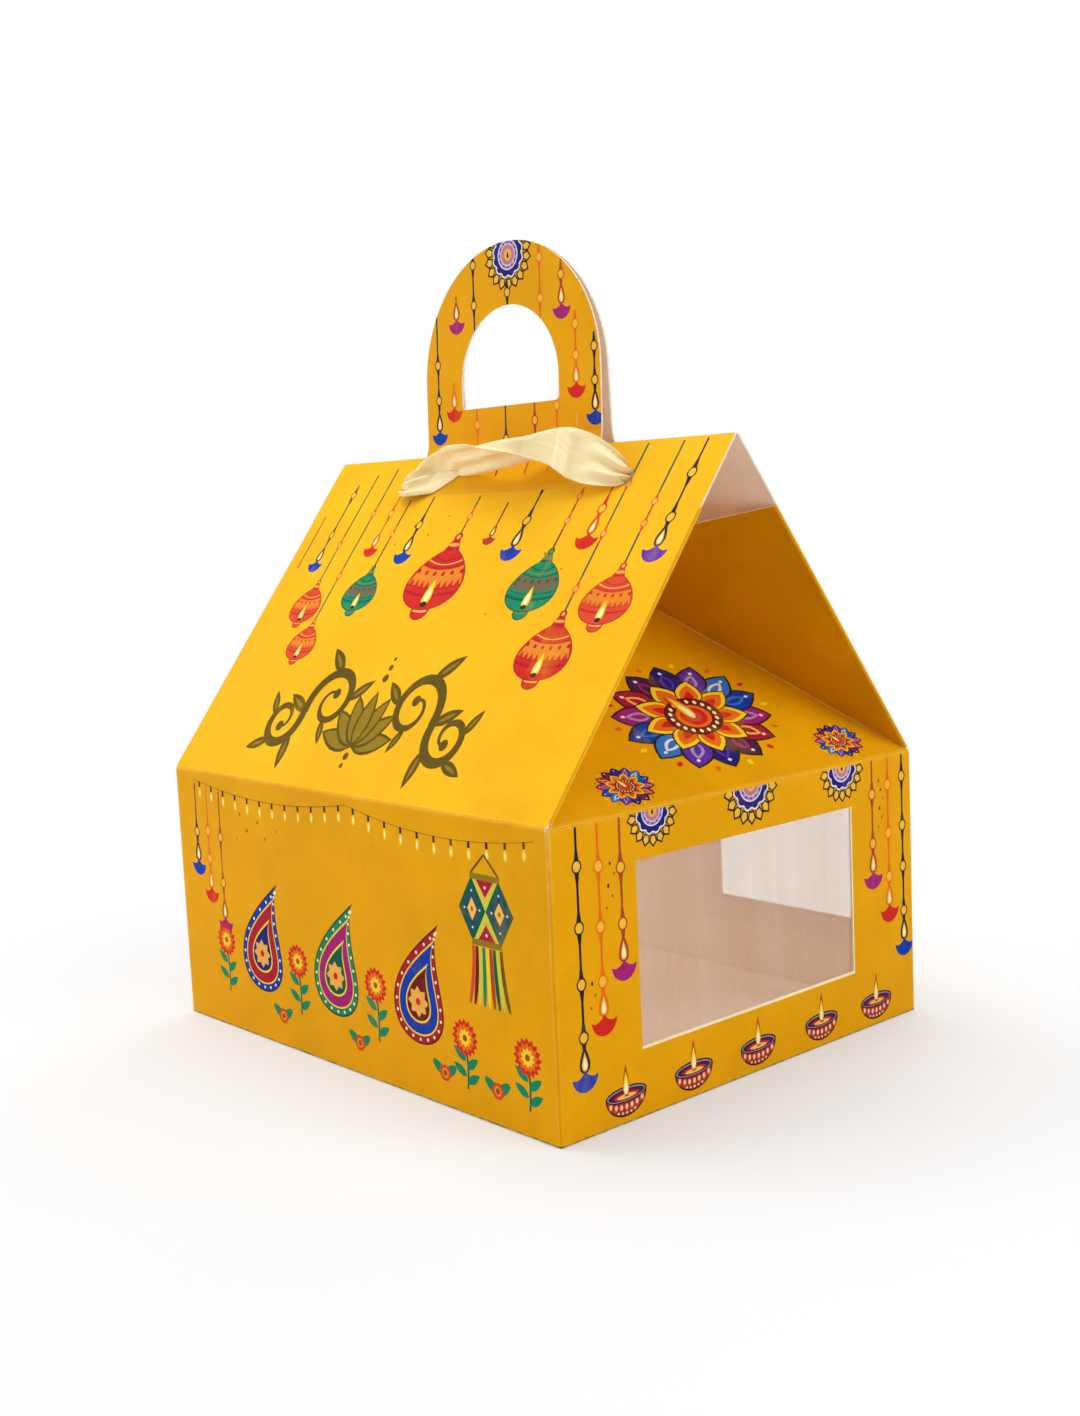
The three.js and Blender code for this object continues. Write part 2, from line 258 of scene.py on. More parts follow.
class Side(Enum):
    """A side of the carton, by its turn about Z from the front in degrees."""

    FRONT = 0
    RIGHT = 90
    BACK = 180
    LEFT = 270

    @property
    def label(self) -> str:
        """The side's word in node names."""
        return self.name.lower()

    @property
    def long(self) -> bool:
        """Whether the side is one of the two long ones."""
        return self in (Side.FRONT, Side.BACK)

    @property
    def reach(self) -> float:
        """How far the side's wall stands from the carton's middle."""
        return (SIZES.depth if self.long else SIZES.width) / 2

    @property
    def half(self) -> float:
        """Half of the wall's flat width, between its rounded corners."""
        return (SIZES.width if self.long else SIZES.depth) / 2 - SIZES.corner_radius

    @property
    def lean(self) -> float:
        """The lean from upright of the roof slope or gable flap above the wall."""
        return SIZES.lean if self.long else SIZES.flap_lean

    def turned(self, x: float, y: float, z: float) -> Vector:
        """Turns a place or way on the front, along it, into the carton and up, to this side."""
        return Matrix.Rotation(math.radians(self.value), 3, "Z") @ Vector((x, y, z))

    def wall_lay(self, inwards: float = 0.0, height: float = 0.0, *folds: Bend, wraps: bool = False) -> Lay:
        """The frame of an upright panel, that far in from the wall's face and that high."""
        return Lay(self.turned(0, inwards - self.reach, height), self.turned(1, 0, 0), UP, folds, wraps)

    def roof_lay(self) -> Lay:
        """The frame of the roof slope or gable flap above the wall, from the middle of its crease."""
        up = self.turned(0, math.sin(self.lean), math.cos(self.lean))
        return Lay(self.turned(0, -self.reach, SIZES.wall_height), self.turned(1, 0, 0), up)


def ellipse(x: float, y: float, half_width: float, half_height: float, steps: int = 18) -> Outline:
    """An ellipse about a place, with that many points."""
    angles = [2 * math.pi * step / steps for step in range(steps)]
    return [(x + half_width * math.cos(a), y + half_height * math.sin(a)) for a in angles]


def drop(x: float, y: float, width: float, height: float, steps: int = 16) -> Outline:
    """A drop or flame with its point up.

    Args:
        x: Middle, across.
        y: Middle, up.
        width: Its widest.
        height: From its round belly to its point.
        steps: Number of its points.

    Returns:
        The outline.
    """
    widest = 0.7
    points = []
    for step in range(steps):
        angle = 2 * math.pi * step / steps
        swell = math.sin(angle) * abs(math.sin(angle / 2)) ** 1.5 / widest
        points.append((x - width / 2 * swell, y + height / 2 * math.cos(angle)))
    return points


def mirrored(side: Outline) -> Outline:
    """The other half of an outline whose first half runs up its right side, or down it."""
    return [(-x, y) for x, y in reversed(side)]


def closed(outline: list) -> list[tuple]:
    """The pairs of neighbours round an outline, the last with the first."""
    return list(zip(outline, outline[1:] + outline[:1]))


def petal(length: float, width: float, start: float = 0.0, steps: int = 6) -> Outline:
    """A petal that points up, with a point at each end.

    Args:
        length: From its foot to its tip.
        width: Its widest.
        start: How far its foot stands above the middle.
        steps: Points on each side.

    Returns:
        The outline.
    """
    side = []
    for step in range(1, steps):
        share = step / steps
        side.append((width / 2 * math.sin(math.pi * share**0.85) ** 0.85, start + length * share))
    return [(0.0, start), *side, (0.0, start + length), *mirrored(side)]


def band(points: Outline, widths: list[float]) -> Outline:
    """A strip that follows a line, wider or narrower as it goes.

    Args:
        points: The line.
        widths: The strip's width at each of its points.

    Returns:
        The outline.
    """
    left, right = [], []
    for place, (x, y) in enumerate(points):
        before = points[max(place - 1, 0)]
        after = points[min(place + 1, len(points) - 1)]
        run, rise = after[0] - before[0], after[1] - before[1]
        length = math.hypot(run, rise)
        across, up = -rise / length * widths[place] / 2, run / length * widths[place] / 2
        left.append((x + across, y + up))
        right.append((x - across, y - up))
    return right + left[::-1]


def moved(outline: Outline, x: float, y: float, wide: float, high: float, turn: float) -> Outline:
    """Turns an outline to the left by degrees, then scales it across and up, then moves it."""
    c, s = math.cos(math.radians(turn)), math.sin(math.radians(turn))
    return [(x + wide * (px * c - py * s), y + high * (px * s + py * c)) for px, py in outline]


def rectangle(left: float, low: float, right: float, high: float, radius: float = 0.0) -> Outline:
    """A rectangle, with round corners if asked.

    Args:
        left: Its left edge.
        low: Its lower edge.
        right: Its right edge.
        high: Its upper edge.
        radius: Radius of its corners.

    Returns:
        The outline.
    """
    if not radius:
        return [(left, low), (right, low), (right, high), (left, high)]
    steps = 6
    points = []
    for x, y, start in ((right, low, -90), (right, high, 0), (left, high, 90), (left, low, 180)):
        cx = x - math.copysign(radius, x - (left + right) / 2)
        cy = y - math.copysign(radius, y - (low + high) / 2)
        for step in range(steps + 1):
            angle = math.radians(start + 90 * step / steps)
            points.append((cx + radius * math.cos(angle), cy + radius * math.sin(angle)))
    return points


def archway(half: float, floor: float, top: float, radius: float, steps: int = 40) -> Outline:
    """A doorway shape: flat below with round corners, and round above.

    Args:
        half: Half of its width.
        floor: Height of its floor.
        top: Height of its crown.
        radius: Radius of its lower corners.
        steps: Points round its crown.

    Returns:
        The outline.
    """
    points = []
    for centre, start in ((radius - half, 180), (half - radius, 270)):
        for step in range(5):
            angle = math.radians(start + 90 * step / 4)
            points.append((centre + radius * math.cos(angle), floor + radius + radius * math.sin(angle)))
    for step in range(steps + 1):
        angle = math.pi * step / steps
        points.append((half * math.cos(angle), top - half + half * math.sin(angle)))
    return points


def area(outline: Outline) -> float:
    """The area of an outline, positive where it runs to the left."""
    return sum(a[0] * b[1] - b[0] * a[1] for a, b in closed(outline)) / 2


def away_from(point: Point, start: Point, end: Point) -> float:
    """The distance from a point to the line between two others.

    Args:
        point: The point.
        start: One end of the line.
        end: Its other end.

    Returns:
        The distance.
    """
    run, rise = end[0] - start[0], end[1] - start[1]
    length = run * run + rise * rise
    share = ((point[0] - start[0]) * run + (point[1] - start[1]) * rise) / length
    share = min(1.0, max(0.0, share))
    return math.hypot(point[0] - start[0] - share * run, point[1] - start[1] - share * rise)


def inside(point: Point, outline: Outline) -> bool:
    """Whether a point lies inside an outline.

    Args:
        point: The point.
        outline: The outline.

    Returns:
        True if it does.
    """
    found = False
    for (ax, ay), (bx, by) in closed(outline):
        if (ay > point[1]) != (by > point[1]):
            if point[0] < ax + (point[1] - ay) / (by - ay) * (bx - ax):
                found = not found
    return found


def steps_between(start: float, end: float, number: int) -> list[float]:
    """Evenly spaced values strictly between two others."""
    return [start + (end - start) * step / number for step in range(1, number)]


@dataclass(frozen=True)
class Shape:
    """One printed shape: its outline and its ink."""

    outline: Outline
    ink: Ink


Shapes = Iterator[Shape]


class Motif(Protocol):
    """An ornament that gives its printed shapes about its own middle."""

    def shapes(self) -> Shapes:
        """The ornament's shapes in painting order."""


def oval(ink: Ink, x: float, y: float, half_width: float, half_height: float, steps: int) -> Shape:
    """A printed ellipse."""
    return Shape(ellipse(x, y, half_width, half_height, steps), ink)


def stamped(motif: Motif, x: float, y: float, wide: float = 1.0, high: float = 1.0) -> Shapes:
    """A motif's shapes at a place, scaled across and up."""
    for shape in motif.shapes():
        yield Shape(moved(shape.outline, x, y, wide, high, 0), shape.ink)


def specks(x: float, y: float, width: float, height: float, number: int) -> Shapes:
    """Small strewn specks over a rectangle, spread by the golden ratio.

    Args:
        x: Its left edge.
        y: Its lower edge.
        width: Its width.
        height: Its height.
        number: How many.

    Yields:
        The specks.
    """
    golden = 0.618034
    for place in range(number):
        across, size = (place * golden) % 1, 0.22 + 0.2 * ((place * 0.37) % 1)
        ink = (Ink.MAROON, Ink.CLAY)[place % 2]
        yield oval(ink, x + width * across, y + height * (place + 0.5) / number, size, 1.5 * size, 7)


@dataclass(frozen=True)
class Bead:
    """A bead between two flared collars."""

    ink: Ink
    fill: Ink = Ink.STRAW
    half_width: float = 1.25
    half_height: float = 1.35
    rim: float = 0.34

    def shapes(self) -> Shapes:
        """The collars, the bead's rim and its middle."""
        for way in (1, -1):
            yield Shape([(-0.62, way), (0.62, way), (0.26, 3.4 * way), (-0.26, 3.4 * way)], self.ink)
        yield oval(self.ink, 0, 0, self.half_width, self.half_height, 14)
        yield oval(self.fill, 0, 0, self.half_width - self.rim, self.half_height - self.rim, 12)


@dataclass(frozen=True)
class LampPendant:
    """A hanging lamp: a fan-shaped dish under a flame in a drop-shaped loop."""

    ink: Ink
    string: Ink

    def shapes(self) -> Shapes:
        """The loop, its flame and the dish."""
        half = [(0.55, 1.3), (1.3, 0.8), (2.2, 0.55), (3.3, 0.85)]
        half += [(3.05, -0.1), (2.55, -0.95), (1.8, -1.6), (0.9, -2.0)]
        yield Shape(drop(0, 4.2, 2.7, 5.6), self.string)
        yield Shape(drop(0, 3.7, 1.5, 3.6), Ink.HONEY)
        yield Shape(drop(0, 3.4, 0.9, 2.4, 12), Ink.PALE)
        yield Shape([(0.0, 2.0), *half, (0.0, -2.15), *mirrored(half)], self.ink)


@dataclass(frozen=True)
class BeadString:
    """A string of beads that hangs on a panel, with a lamp pendant or a lantern at its foot."""

    x: float
    top: float
    foot: float
    beads: tuple[float, ...]
    ink: Ink
    pendant: Ink | None = None
    thickness: float = 0.58
    size: float = 1.0
    rim: Ink | None = None

    def shapes(self) -> Shapes:
        """The string, its beads and its pendant."""
        reach = 6.6 * self.size if self.pendant else 0.0
        line = [(self.x, self.top), (self.x, self.foot + reach)]
        yield Shape(band(line, [self.thickness] * 2), self.ink)
        bead = Bead(self.rim, Ink.PEACH) if self.rim else Bead(self.ink)
        for height in self.beads:
            yield from stamped(bead, self.x, height, self.size, self.size)
        if self.pendant:
            lamp = LampPendant(self.pendant, self.ink)
            yield from stamped(lamp, self.x, self.foot, self.size, self.size)


@dataclass(frozen=True)
class Lantern:
    """An onion-shaped paper lantern with belts, a cap, a foot and a flame inside."""

    dark: Ink
    body: Ink
    belt: Ink
    glow: Ink
    width: float = 20.0
    sag: float = 0.16
    rim: float = 0.34

    @property
    def half(self) -> float:
        """Half of the globe's greatest width."""
        return self.width / 2

    @property
    def tall(self) -> float:
        """Half of the globe's height."""
        return 0.86 * self.half

    def shapes(self) -> Shapes:
        """The foot, the globe, the neck and cap, the belts, dots and teeth, and the flame."""
        half, tall, dark, belt = self.half, self.tall, self.dark, self.belt
        foot = ((-1.04, 0.33, 0.27, 14, dark), (-1.06, 0.29, 0.21, 14, self.body))
        foot += ((-1.05, 0.27, 0.05, 12, belt),)
        neck = ((0.34, 0.76), (-0.34, 0.76), (-0.1, 1.34), (0.1, 1.34))
        collar = ((0.96, 0.27, 0.045, 12, dark), (1.1, 0.2, 0.05, 12, belt))
        cap = ((1.36, 0.14, 0.13, 10, dark), (1.36, 0.07, 0.07, 8, belt))
        yield from self.ovals(foot)
        yield Shape(self.globe(half + self.rim, tall + self.rim), dark)
        yield Shape(self.globe(half, tall), self.body)
        yield Shape([(x * half, y * tall) for x, y in neck], self.body)
        yield from self.ovals(collar + cap)
        lines = ((0.72, 0.76, dark), (0.58, 0.62, belt), (0.46, 0.5, dark))
        zones = ((-0.2, 0.42, self.glow), (-0.2, -0.16, dark), (-0.46, -0.36, dark))
        for low, high, ink in lines + zones:
            yield Shape(self.belt_outline(low * tall, high * tall), ink)
        for x in self.spread(0.78, 6):
            yield oval(dark, x, 0.3 * tall - self.sag_at(x), 0.06 * half, 0.07 * half, 8)
        for x in self.spread(0.84, 9):
            y, reach = -self.sag_at(x), 0.09 * half
            foot_height = y - 0.16 * tall
            yield Shape([(x - reach, foot_height), (x + reach, foot_height), (x, y + 0.06 * tall)], self.body)
        yield Shape(drop(0, -0.44 * tall, 0.3 * half, 0.86 * tall), Ink.YELLOW)
        yield Shape(drop(0, -0.5 * tall, 0.16 * half, 0.5 * tall), Ink.PALE)
        yield oval(Ink.BLACK, 0, -0.84 * tall, 0.12 * half, 0.08 * half, 9)

    def ovals(self, rows: tuple[tuple, ...]) -> Shapes:
        """Ovals on the middle line, from rows of height, half width, half height, points and ink."""
        for y, wide, high, steps, ink in rows:
            yield oval(ink, 0, y * self.tall, wide * self.half, high * self.half, steps)

    def spread(self, share: float, number: int) -> list[float]:
        """Even places across that share of the globe."""
        return [share * self.half * (2 * place / (number - 1) - 1) for place in range(number)]

    def sag_at(self, x: float) -> float:
        """How far a belt sags at a place across the globe."""
        return self.sag * self.tall * (1 - (x / self.half) ** 2)

    @staticmethod
    def reach(height: float, half: float, tall: float) -> float:
        """Half of a globe's width at a height, from half of its greatest width and of its height."""
        angle = math.acos(max(-1.0, min(1.0, height / tall)))
        return half * math.sin(angle) * math.sin(angle / 2) ** 0.5 / 0.87

    def globe(self, half: float, tall: float) -> Outline:
        """A globe's outline, fuller below than above."""
        heights = [tall * math.cos(math.pi * step / 16) for step in range(17)]
        left = [(-self.reach(y, half, tall), y) for y in heights]
        return left + mirrored(left[1:-1])

    def belt_outline(self, low: float, high: float) -> Outline:
        """A belt round the globe that sags towards its middle.

        Args:
            low: Height of its lower edge at the globe's sides.
            high: Height of its upper edge there.

        Returns:
            The outline.
        """
        points, steps, sag = [], 9, self.sag * self.tall
        for height, way in ((low, 1), (high, -1)):
            reach = 0.985 * self.reach(height, self.half, self.tall)
            for step in range(steps):
                share = way * (2 * step / (steps - 1) - 1)
                points.append((reach * share, height - sag * (1 - share * share)))
        return points


@dataclass(frozen=True)
class ClayLamp:
    """A painted clay lamp with its flame."""

    width: float = 12.0

    def shapes(self) -> Shapes:
        """The bowl with its painted dots, the rim, the oil and the flame."""
        half, rim, depth, edge = self.width / 2, 1.5, 4.7, 0.4
        yield Shape(self.bowl(half + edge, rim, depth + edge), Ink.BLACK)
        yield Shape(self.bowl(half, rim, depth), Ink.CLAY)
        yield Shape(self.bowl(0.86 * half, rim - 0.3, 0.9 * depth), Ink.RUST)
        for place in range(-3, 4):
            x = place * 0.27 * half
            y = rim - 0.5 * depth * math.sqrt(1 - (x / half) ** 2) - 0.6
            yield oval(Ink.CORAL, x, y, 0.7, 0.95, 9)
            yield oval(Ink.BLUSH, x, y + 0.1, 0.44, 0.62, 8)
            if abs(place) < 3:
                yield oval(Ink.BLUSH, x * 0.8, y - 1.3, 0.4, 0.3, 7)
        yield oval(Ink.BLACK, 0, rim, half + edge, 1.85, 22)
        yield oval(Ink.LILAC, 0, rim - 0.05, half - 0.1, 1.5, 22)
        yield oval(Ink.PLUM, 0, rim - 0.1, half - 0.4, 1.26, 22)
        yield oval(Ink.RED, 0.1, rim - 0.34, 0.66 * half, 0.8, 16)
        yield oval(Ink.HONEY, 0.1, rim - 0.5, 0.5 * half, 0.52, 14)
        yield oval(Ink.CLAY, 0.1, rim - 0.36, 0.14 * half, 0.24, 8)
        flames = ((3.5, 1.9, 7.2, Ink.CLAY), (2.6, 1.7, 5.4, Ink.YELLOW), (1.8, 1.1, 3.6, Ink.PALE))
        for above, width, height, ink in flames:
            yield Shape(drop(0, rim + above, width, height), ink)

    @staticmethod
    def bowl(half: float, rim: float, depth: float, steps: int = 16) -> Outline:
        """The bowl's side: half an ellipse that hangs from its rim."""
        angles = [math.pi + math.pi * step / steps for step in range(steps + 1)]
        return [(half * math.cos(a), rim + depth * math.sin(a)) for a in angles]


@dataclass(frozen=True)
class LaceRosette:
    """A round rosette of rings with a lace border."""

    radius: float = 9.4
    scallops: int = 18
    bumps: int = 12

    def shapes(self) -> Shapes:
        """The border's scallops, the rings and the middle."""
        r, turn = self.radius, 360 / self.scallops
        kites = ((self.kite(0.64, 1.0, 0.155), Ink.BLACK), (self.kite(0.69, 0.93, 0.1), Ink.STRAW))
        for place in range(self.scallops):
            for outline, ink in kites:
                yield Shape(moved(outline, 0, 0, r, r, place * turn), ink)
        for share, size, ink in ((0.68, 0.13, Ink.BLACK), (0.66, 0.13, Ink.WHITE), (0.61, 0.12, Ink.NAVY)):
            yield oval(ink, 0, 0, (share - 0.06) * r, (share - 0.06) * r, 36)
            yield from self.ring(share - size, size, 0.5, 10, ink)
        for share, ink in ((0.42, Ink.WHITE), (0.39, Ink.LILAC), (0.3, Ink.WHITE), (0.28, Ink.MAUVE)):
            yield oval(ink, 0, 0, share * r, share * r, 28)
        yield from self.ring(0.34, 0.035, 0.0, 7, Ink.PURPLE)
        yield oval(Ink.PEACH, 0, 0, 0.15 * r, 0.17 * r, 18)
        yield Shape(drop(0, 0, 0.09 * r, 0.2 * r, 10), Ink.BLACK)

    def ring(self, share: float, size: float, start: float, steps: int, ink: Ink) -> Shapes:
        """Dots in a ring.

        Args:
            share: The ring's radius, as a share of the rosette's.
            size: A dot's radius, in the same way.
            start: Where the first one is, in dots.
            steps: Points round a dot.
            ink: Their ink.

        Yields:
            The dots.
        """
        r = self.radius
        for place in range(self.bumps):
            angle = 2 * math.pi * (place + start) / self.bumps
            x, y = share * r * math.cos(angle), share * r * math.sin(angle)
            yield oval(ink, x, y, size * r, size * r, steps)

    @staticmethod
    def kite(start: float, end: float, half: float) -> Outline:
        """A scallop of the border: a kite from its blunt foot out to its point, by shares of the radius."""
        middle = start + 0.55 * (end - start)
        return [(0.6 * half, start), (half, middle), (0.0, end), (-half, middle), (-0.6 * half, start)]


@dataclass(frozen=True)
class PetalRosette:
    """A many-petalled floor rosette with a lamp in its middle, drawn as seen from the side."""

    radius: float = 24.0
    flatness: float = 0.66

    def shapes(self) -> Shapes:
        """The dots, the dark petals, the flame-coloured petals, the middle and its lamp."""
        r, flat, petals, inner, pearls, lean = self.radius, self.flatness, 14, 9, 18, 28
        inks = (Ink.NAVY, Ink.PLUM, Ink.CRIMSON, Ink.MAGENTA, Ink.BLUE, Ink.SKY, Ink.PURPLE)
        lights = (Ink.PURPLE, Ink.MAGENTA, Ink.PEACH, Ink.LILAC, Ink.SKY, Ink.WHITE, Ink.LILAC)
        sparks = (Ink.ORANGE, Ink.YELLOW, Ink.RED)
        for place in range(petals):
            yield self.leaf(0.11, 0.07, 0.95, (place + 0.5) * 360 / petals, sparks[place % 3])
        for place in range(petals):
            turn = place * 360 / petals + 180
            ink, light = inks[place % len(inks)], lights[place % len(lights)]
            yield self.leaf(0.58, 0.42, 0.44, turn, Ink.BLACK)
            yield self.leaf(0.53, 0.36, 0.455, turn, ink)
            yield self.leaf(0.3, 0.17, 0.54, turn, light)
            yield self.leaf(0.22, 0.09, 0.57, turn, ink)
            yield self.leaf(0.06, 0.05, 0.84, turn, Ink.WHITE)
        for place in range(inner):
            turn = (place + 0.5) * 360 / inner
            yield self.leaf(0.5, 0.36, 0.22, turn, Ink.BLACK)
            yield self.leaf(0.47, 0.32, 0.225, turn, Ink.YELLOW)
            yield self.leaf(0.39, 0.24, 0.23, turn, Ink.ORANGE)
            yield self.leaf(0.26, 0.13, 0.24, turn, Ink.RED)
        for share, ink in ((0.36, Ink.BLACK), (0.345, Ink.MAROON), (0.22, Ink.ORANGE), (0.17, Ink.RED)):
            yield oval(ink, 0, 0, share * r, share * r * flat, 30)
        for place in range(pearls):
            angle = 2 * math.pi * place / pearls
            x, y = 0.285 * r * math.cos(angle), 0.285 * r * flat * math.sin(angle)
            yield oval(Ink.PALE, x, y, 0.024 * r, 0.024 * r, 7)
        yield oval(Ink.CORAL, 0, 0, 0.1 * r, 0.1 * r * flat, 16)
        flames = ((0.15, 0.42, Ink.ORANGE), (0.11, 0.34, Ink.YELLOW), (0.06, 0.22, Ink.PALE))
        for width, height, ink in flames:
            flame = drop(0, height * r / 2 - 0.02 * r, width * r, height * r)
            yield Shape(moved(flame, 0, 0, 1, 1, lean), ink)

    def leaf(self, length: float, width: float, start: float, turn: float, ink: Ink) -> Shape:
        """A petal by shares of the radius, turned about the rosette's middle and flattened."""
        r = self.radius
        return Shape(moved(petal(length * r, width * r, start * r), 0, 0, 1, self.flatness, turn), ink)


@dataclass(frozen=True)
class LightString:
    """A sagging wire of small lights between two places."""

    start: Point
    end: Point
    sag: float = 3.2
    lights: int = 11

    def shapes(self) -> Shapes:
        """The wire, and each light's socket and bulb."""
        steps = 20
        wire = [self.place(step / steps) for step in range(steps + 1)]
        yield Shape(band(wire, [0.2] * len(wire)), Ink.OLIVE)
        for light in range(self.lights):
            x, y = self.place((light + 0.5) / self.lights)
            yield Shape(rectangle(x - 0.42, y - 1.5, x + 0.42, y + 0.1), Ink.BLACK)
            yield oval(Ink.YELLOW, x, y - 2.8, 0.62, 1.4, 12)
            yield oval(Ink.PALE, x, y - 2.9, 0.3, 0.8, 9)

    def place(self, share: float) -> Point:
        """A place on the wire, by its share of the way."""
        x, y = (a + share * (b - a) for a, b in zip(self.start, self.end))
        return (x, y - self.sag * 4 * share * (1 - share))


@dataclass(frozen=True)
class Paisley:
    """A curled drop of nested borders with a blossom in its belly."""

    border: Ink
    field: Ink
    heart: Ink
    height: float = 30.0

    def shapes(self) -> Shapes:
        """The borders from the outside in, the pearls and the blossom."""
        h, petals, middle = self.height, 8, -0.16 * self.height
        for share, ink in ((1.0, Ink.BLACK), (0.965, self.border), (0.8, Ink.YELLOW), (0.76, self.field)):
            yield Shape(self.curl(share), ink)
        for x, y in self.curl(0.885, 26):
            yield oval(Ink.PALE, x, y, 0.42, 0.42, 7)
        for share, ink in ((0.5, Ink.YELLOW), (0.45, self.heart)):
            yield Shape(self.curl(share), ink)
        leaf = petal(0.11 * h, 0.075 * h, 0.015 * h, 5)
        for place in range(petals):
            yield Shape(moved(leaf, 0, middle, 1, 1, place * 360 / petals), Ink.PEACH)
        yield oval(Ink.RED, 0, middle, 0.03 * h, 0.03 * h, 10)

    def curl(self, share: float, steps: int = 40) -> Outline:
        """The curled drop, drawn in towards its belly.

        Args:
            share: Its size beside the whole.
            steps: Number of its points.

        Returns:
            The outline.
        """
        belly = -0.16 * self.height
        points = []
        for x, y in drop(0, 0, 0.62 * self.height, self.height, steps):
            way = max(0.0, (y - belly) / (self.height / 2 - belly))
            points.append((share * (x + 0.3 * self.height * way**2.2), belly + share * (y - belly)))
        return points


@dataclass(frozen=True)
class Marigold:
    """A round blossom of three rings of petals on a leafed stem."""

    stem: float = 14.0
    radius: float = 4.6

    def shapes(self) -> Shapes:
        """The stem, its leaves and the blossom."""
        line = [(0.5 * math.sin(step / 2), -self.stem * step / 6) for step in range(7)]
        yield Shape(band(line, [0.6] * 7), Ink.PINE)
        for height, turn in ((0.45, 55), (0.6, -55), (0.75, 60), (0.88, -60)):
            yield Shape(moved(petal(5.2, 2.2), 0, -height * self.stem, 1, 1, turn), Ink.GREEN)
        for share, petals, ink in ((1.0, 16, Ink.RED), (0.76, 13, Ink.ORANGE), (0.5, 10, Ink.YELLOW)):
            length = share * self.radius
            for place in range(petals):
                leaf = petal(length, 0.5 * length, 0.0, 4)
                yield Shape(moved(leaf, 0, 0, 1, 1, place * 360 / petals), ink)
        yield oval(Ink.CLAY, 0, 0, 0.8, 0.8, 10)


@dataclass(frozen=True)
class PaperLantern:
    """A hanging paper lantern of two rhombs side by side, with streamers."""

    half_width: float = 9.2
    half_height: float = 7.4
    streamer: float = 13.5

    def shapes(self) -> Shapes:
        """The loop, the streamers, the rhombs with their stars, and the bars."""
        w, h = self.half_width / 2, self.half_height
        for side in (-1, 1):
            yield Shape(band([(side * w, h + 0.8), (0.0, h + 5.2)], [0.6, 0.5]), Ink.BRONZE)
        inks = (Ink.CORAL, Ink.MAROON, Ink.LIME, Ink.GREEN, Ink.YELLOW)
        inks += (Ink.CLAY, Ink.PINE, Ink.LIME, Ink.BRONZE)
        for place, ink in enumerate(inks):
            x = w * (2 * place / (len(inks) - 1) - 1)
            shares = (0, 0.25, 0.5, 0.75, 1)
            line = [(x * (1 + 0.45 * s * s), -h - 0.8 - self.streamer * s) for s in shares]
            yield Shape(band(line, [0.95, 1.1, 1.2, 1.2, 0.7]), ink)
        yield Shape(rectangle(-w, -h, w, h), Ink.LIME)
        rhombs = ((1.0, Ink.PINE), (0.74, Ink.TEAL), (0.44, Ink.PLUM), (0.36, Ink.HONEY), (0.1, Ink.CLAY))
        for side in (-1, 1):
            for share, ink in ((0.78, Ink.PEACH), (0.66, Ink.CRIMSON)):
                foot, tip = side * h * 0.94, side * h * (0.94 - 0.8 * share)
                yield Shape([(-share * w, foot), (share * w, foot), (0.0, tip)], ink)
            yield oval(Ink.WHITE, 0, side * 0.72 * h, 0.4, 0.4, 8)
            for share, ink in rhombs:
                reach, rise = share * w, share * h
                rhomb = [(reach, 0.0), (0.0, rise), (-reach, 0.0), (0.0, -rise)]
                yield Shape(moved(rhomb, side * w, 0, 1, 1, 0), ink)
            for x, y in ((0.56, 0.0), (-0.56, 0.0), (0.0, 0.56), (0.0, -0.56)):
                yield oval(Ink.WHITE, side * w + x * w, y * h, 0.3, 0.3, 7)
            yield Shape(rectangle(-w - 0.4, side * h - 0.6, w + 0.4, side * h + 0.8), Ink.OLIVE)


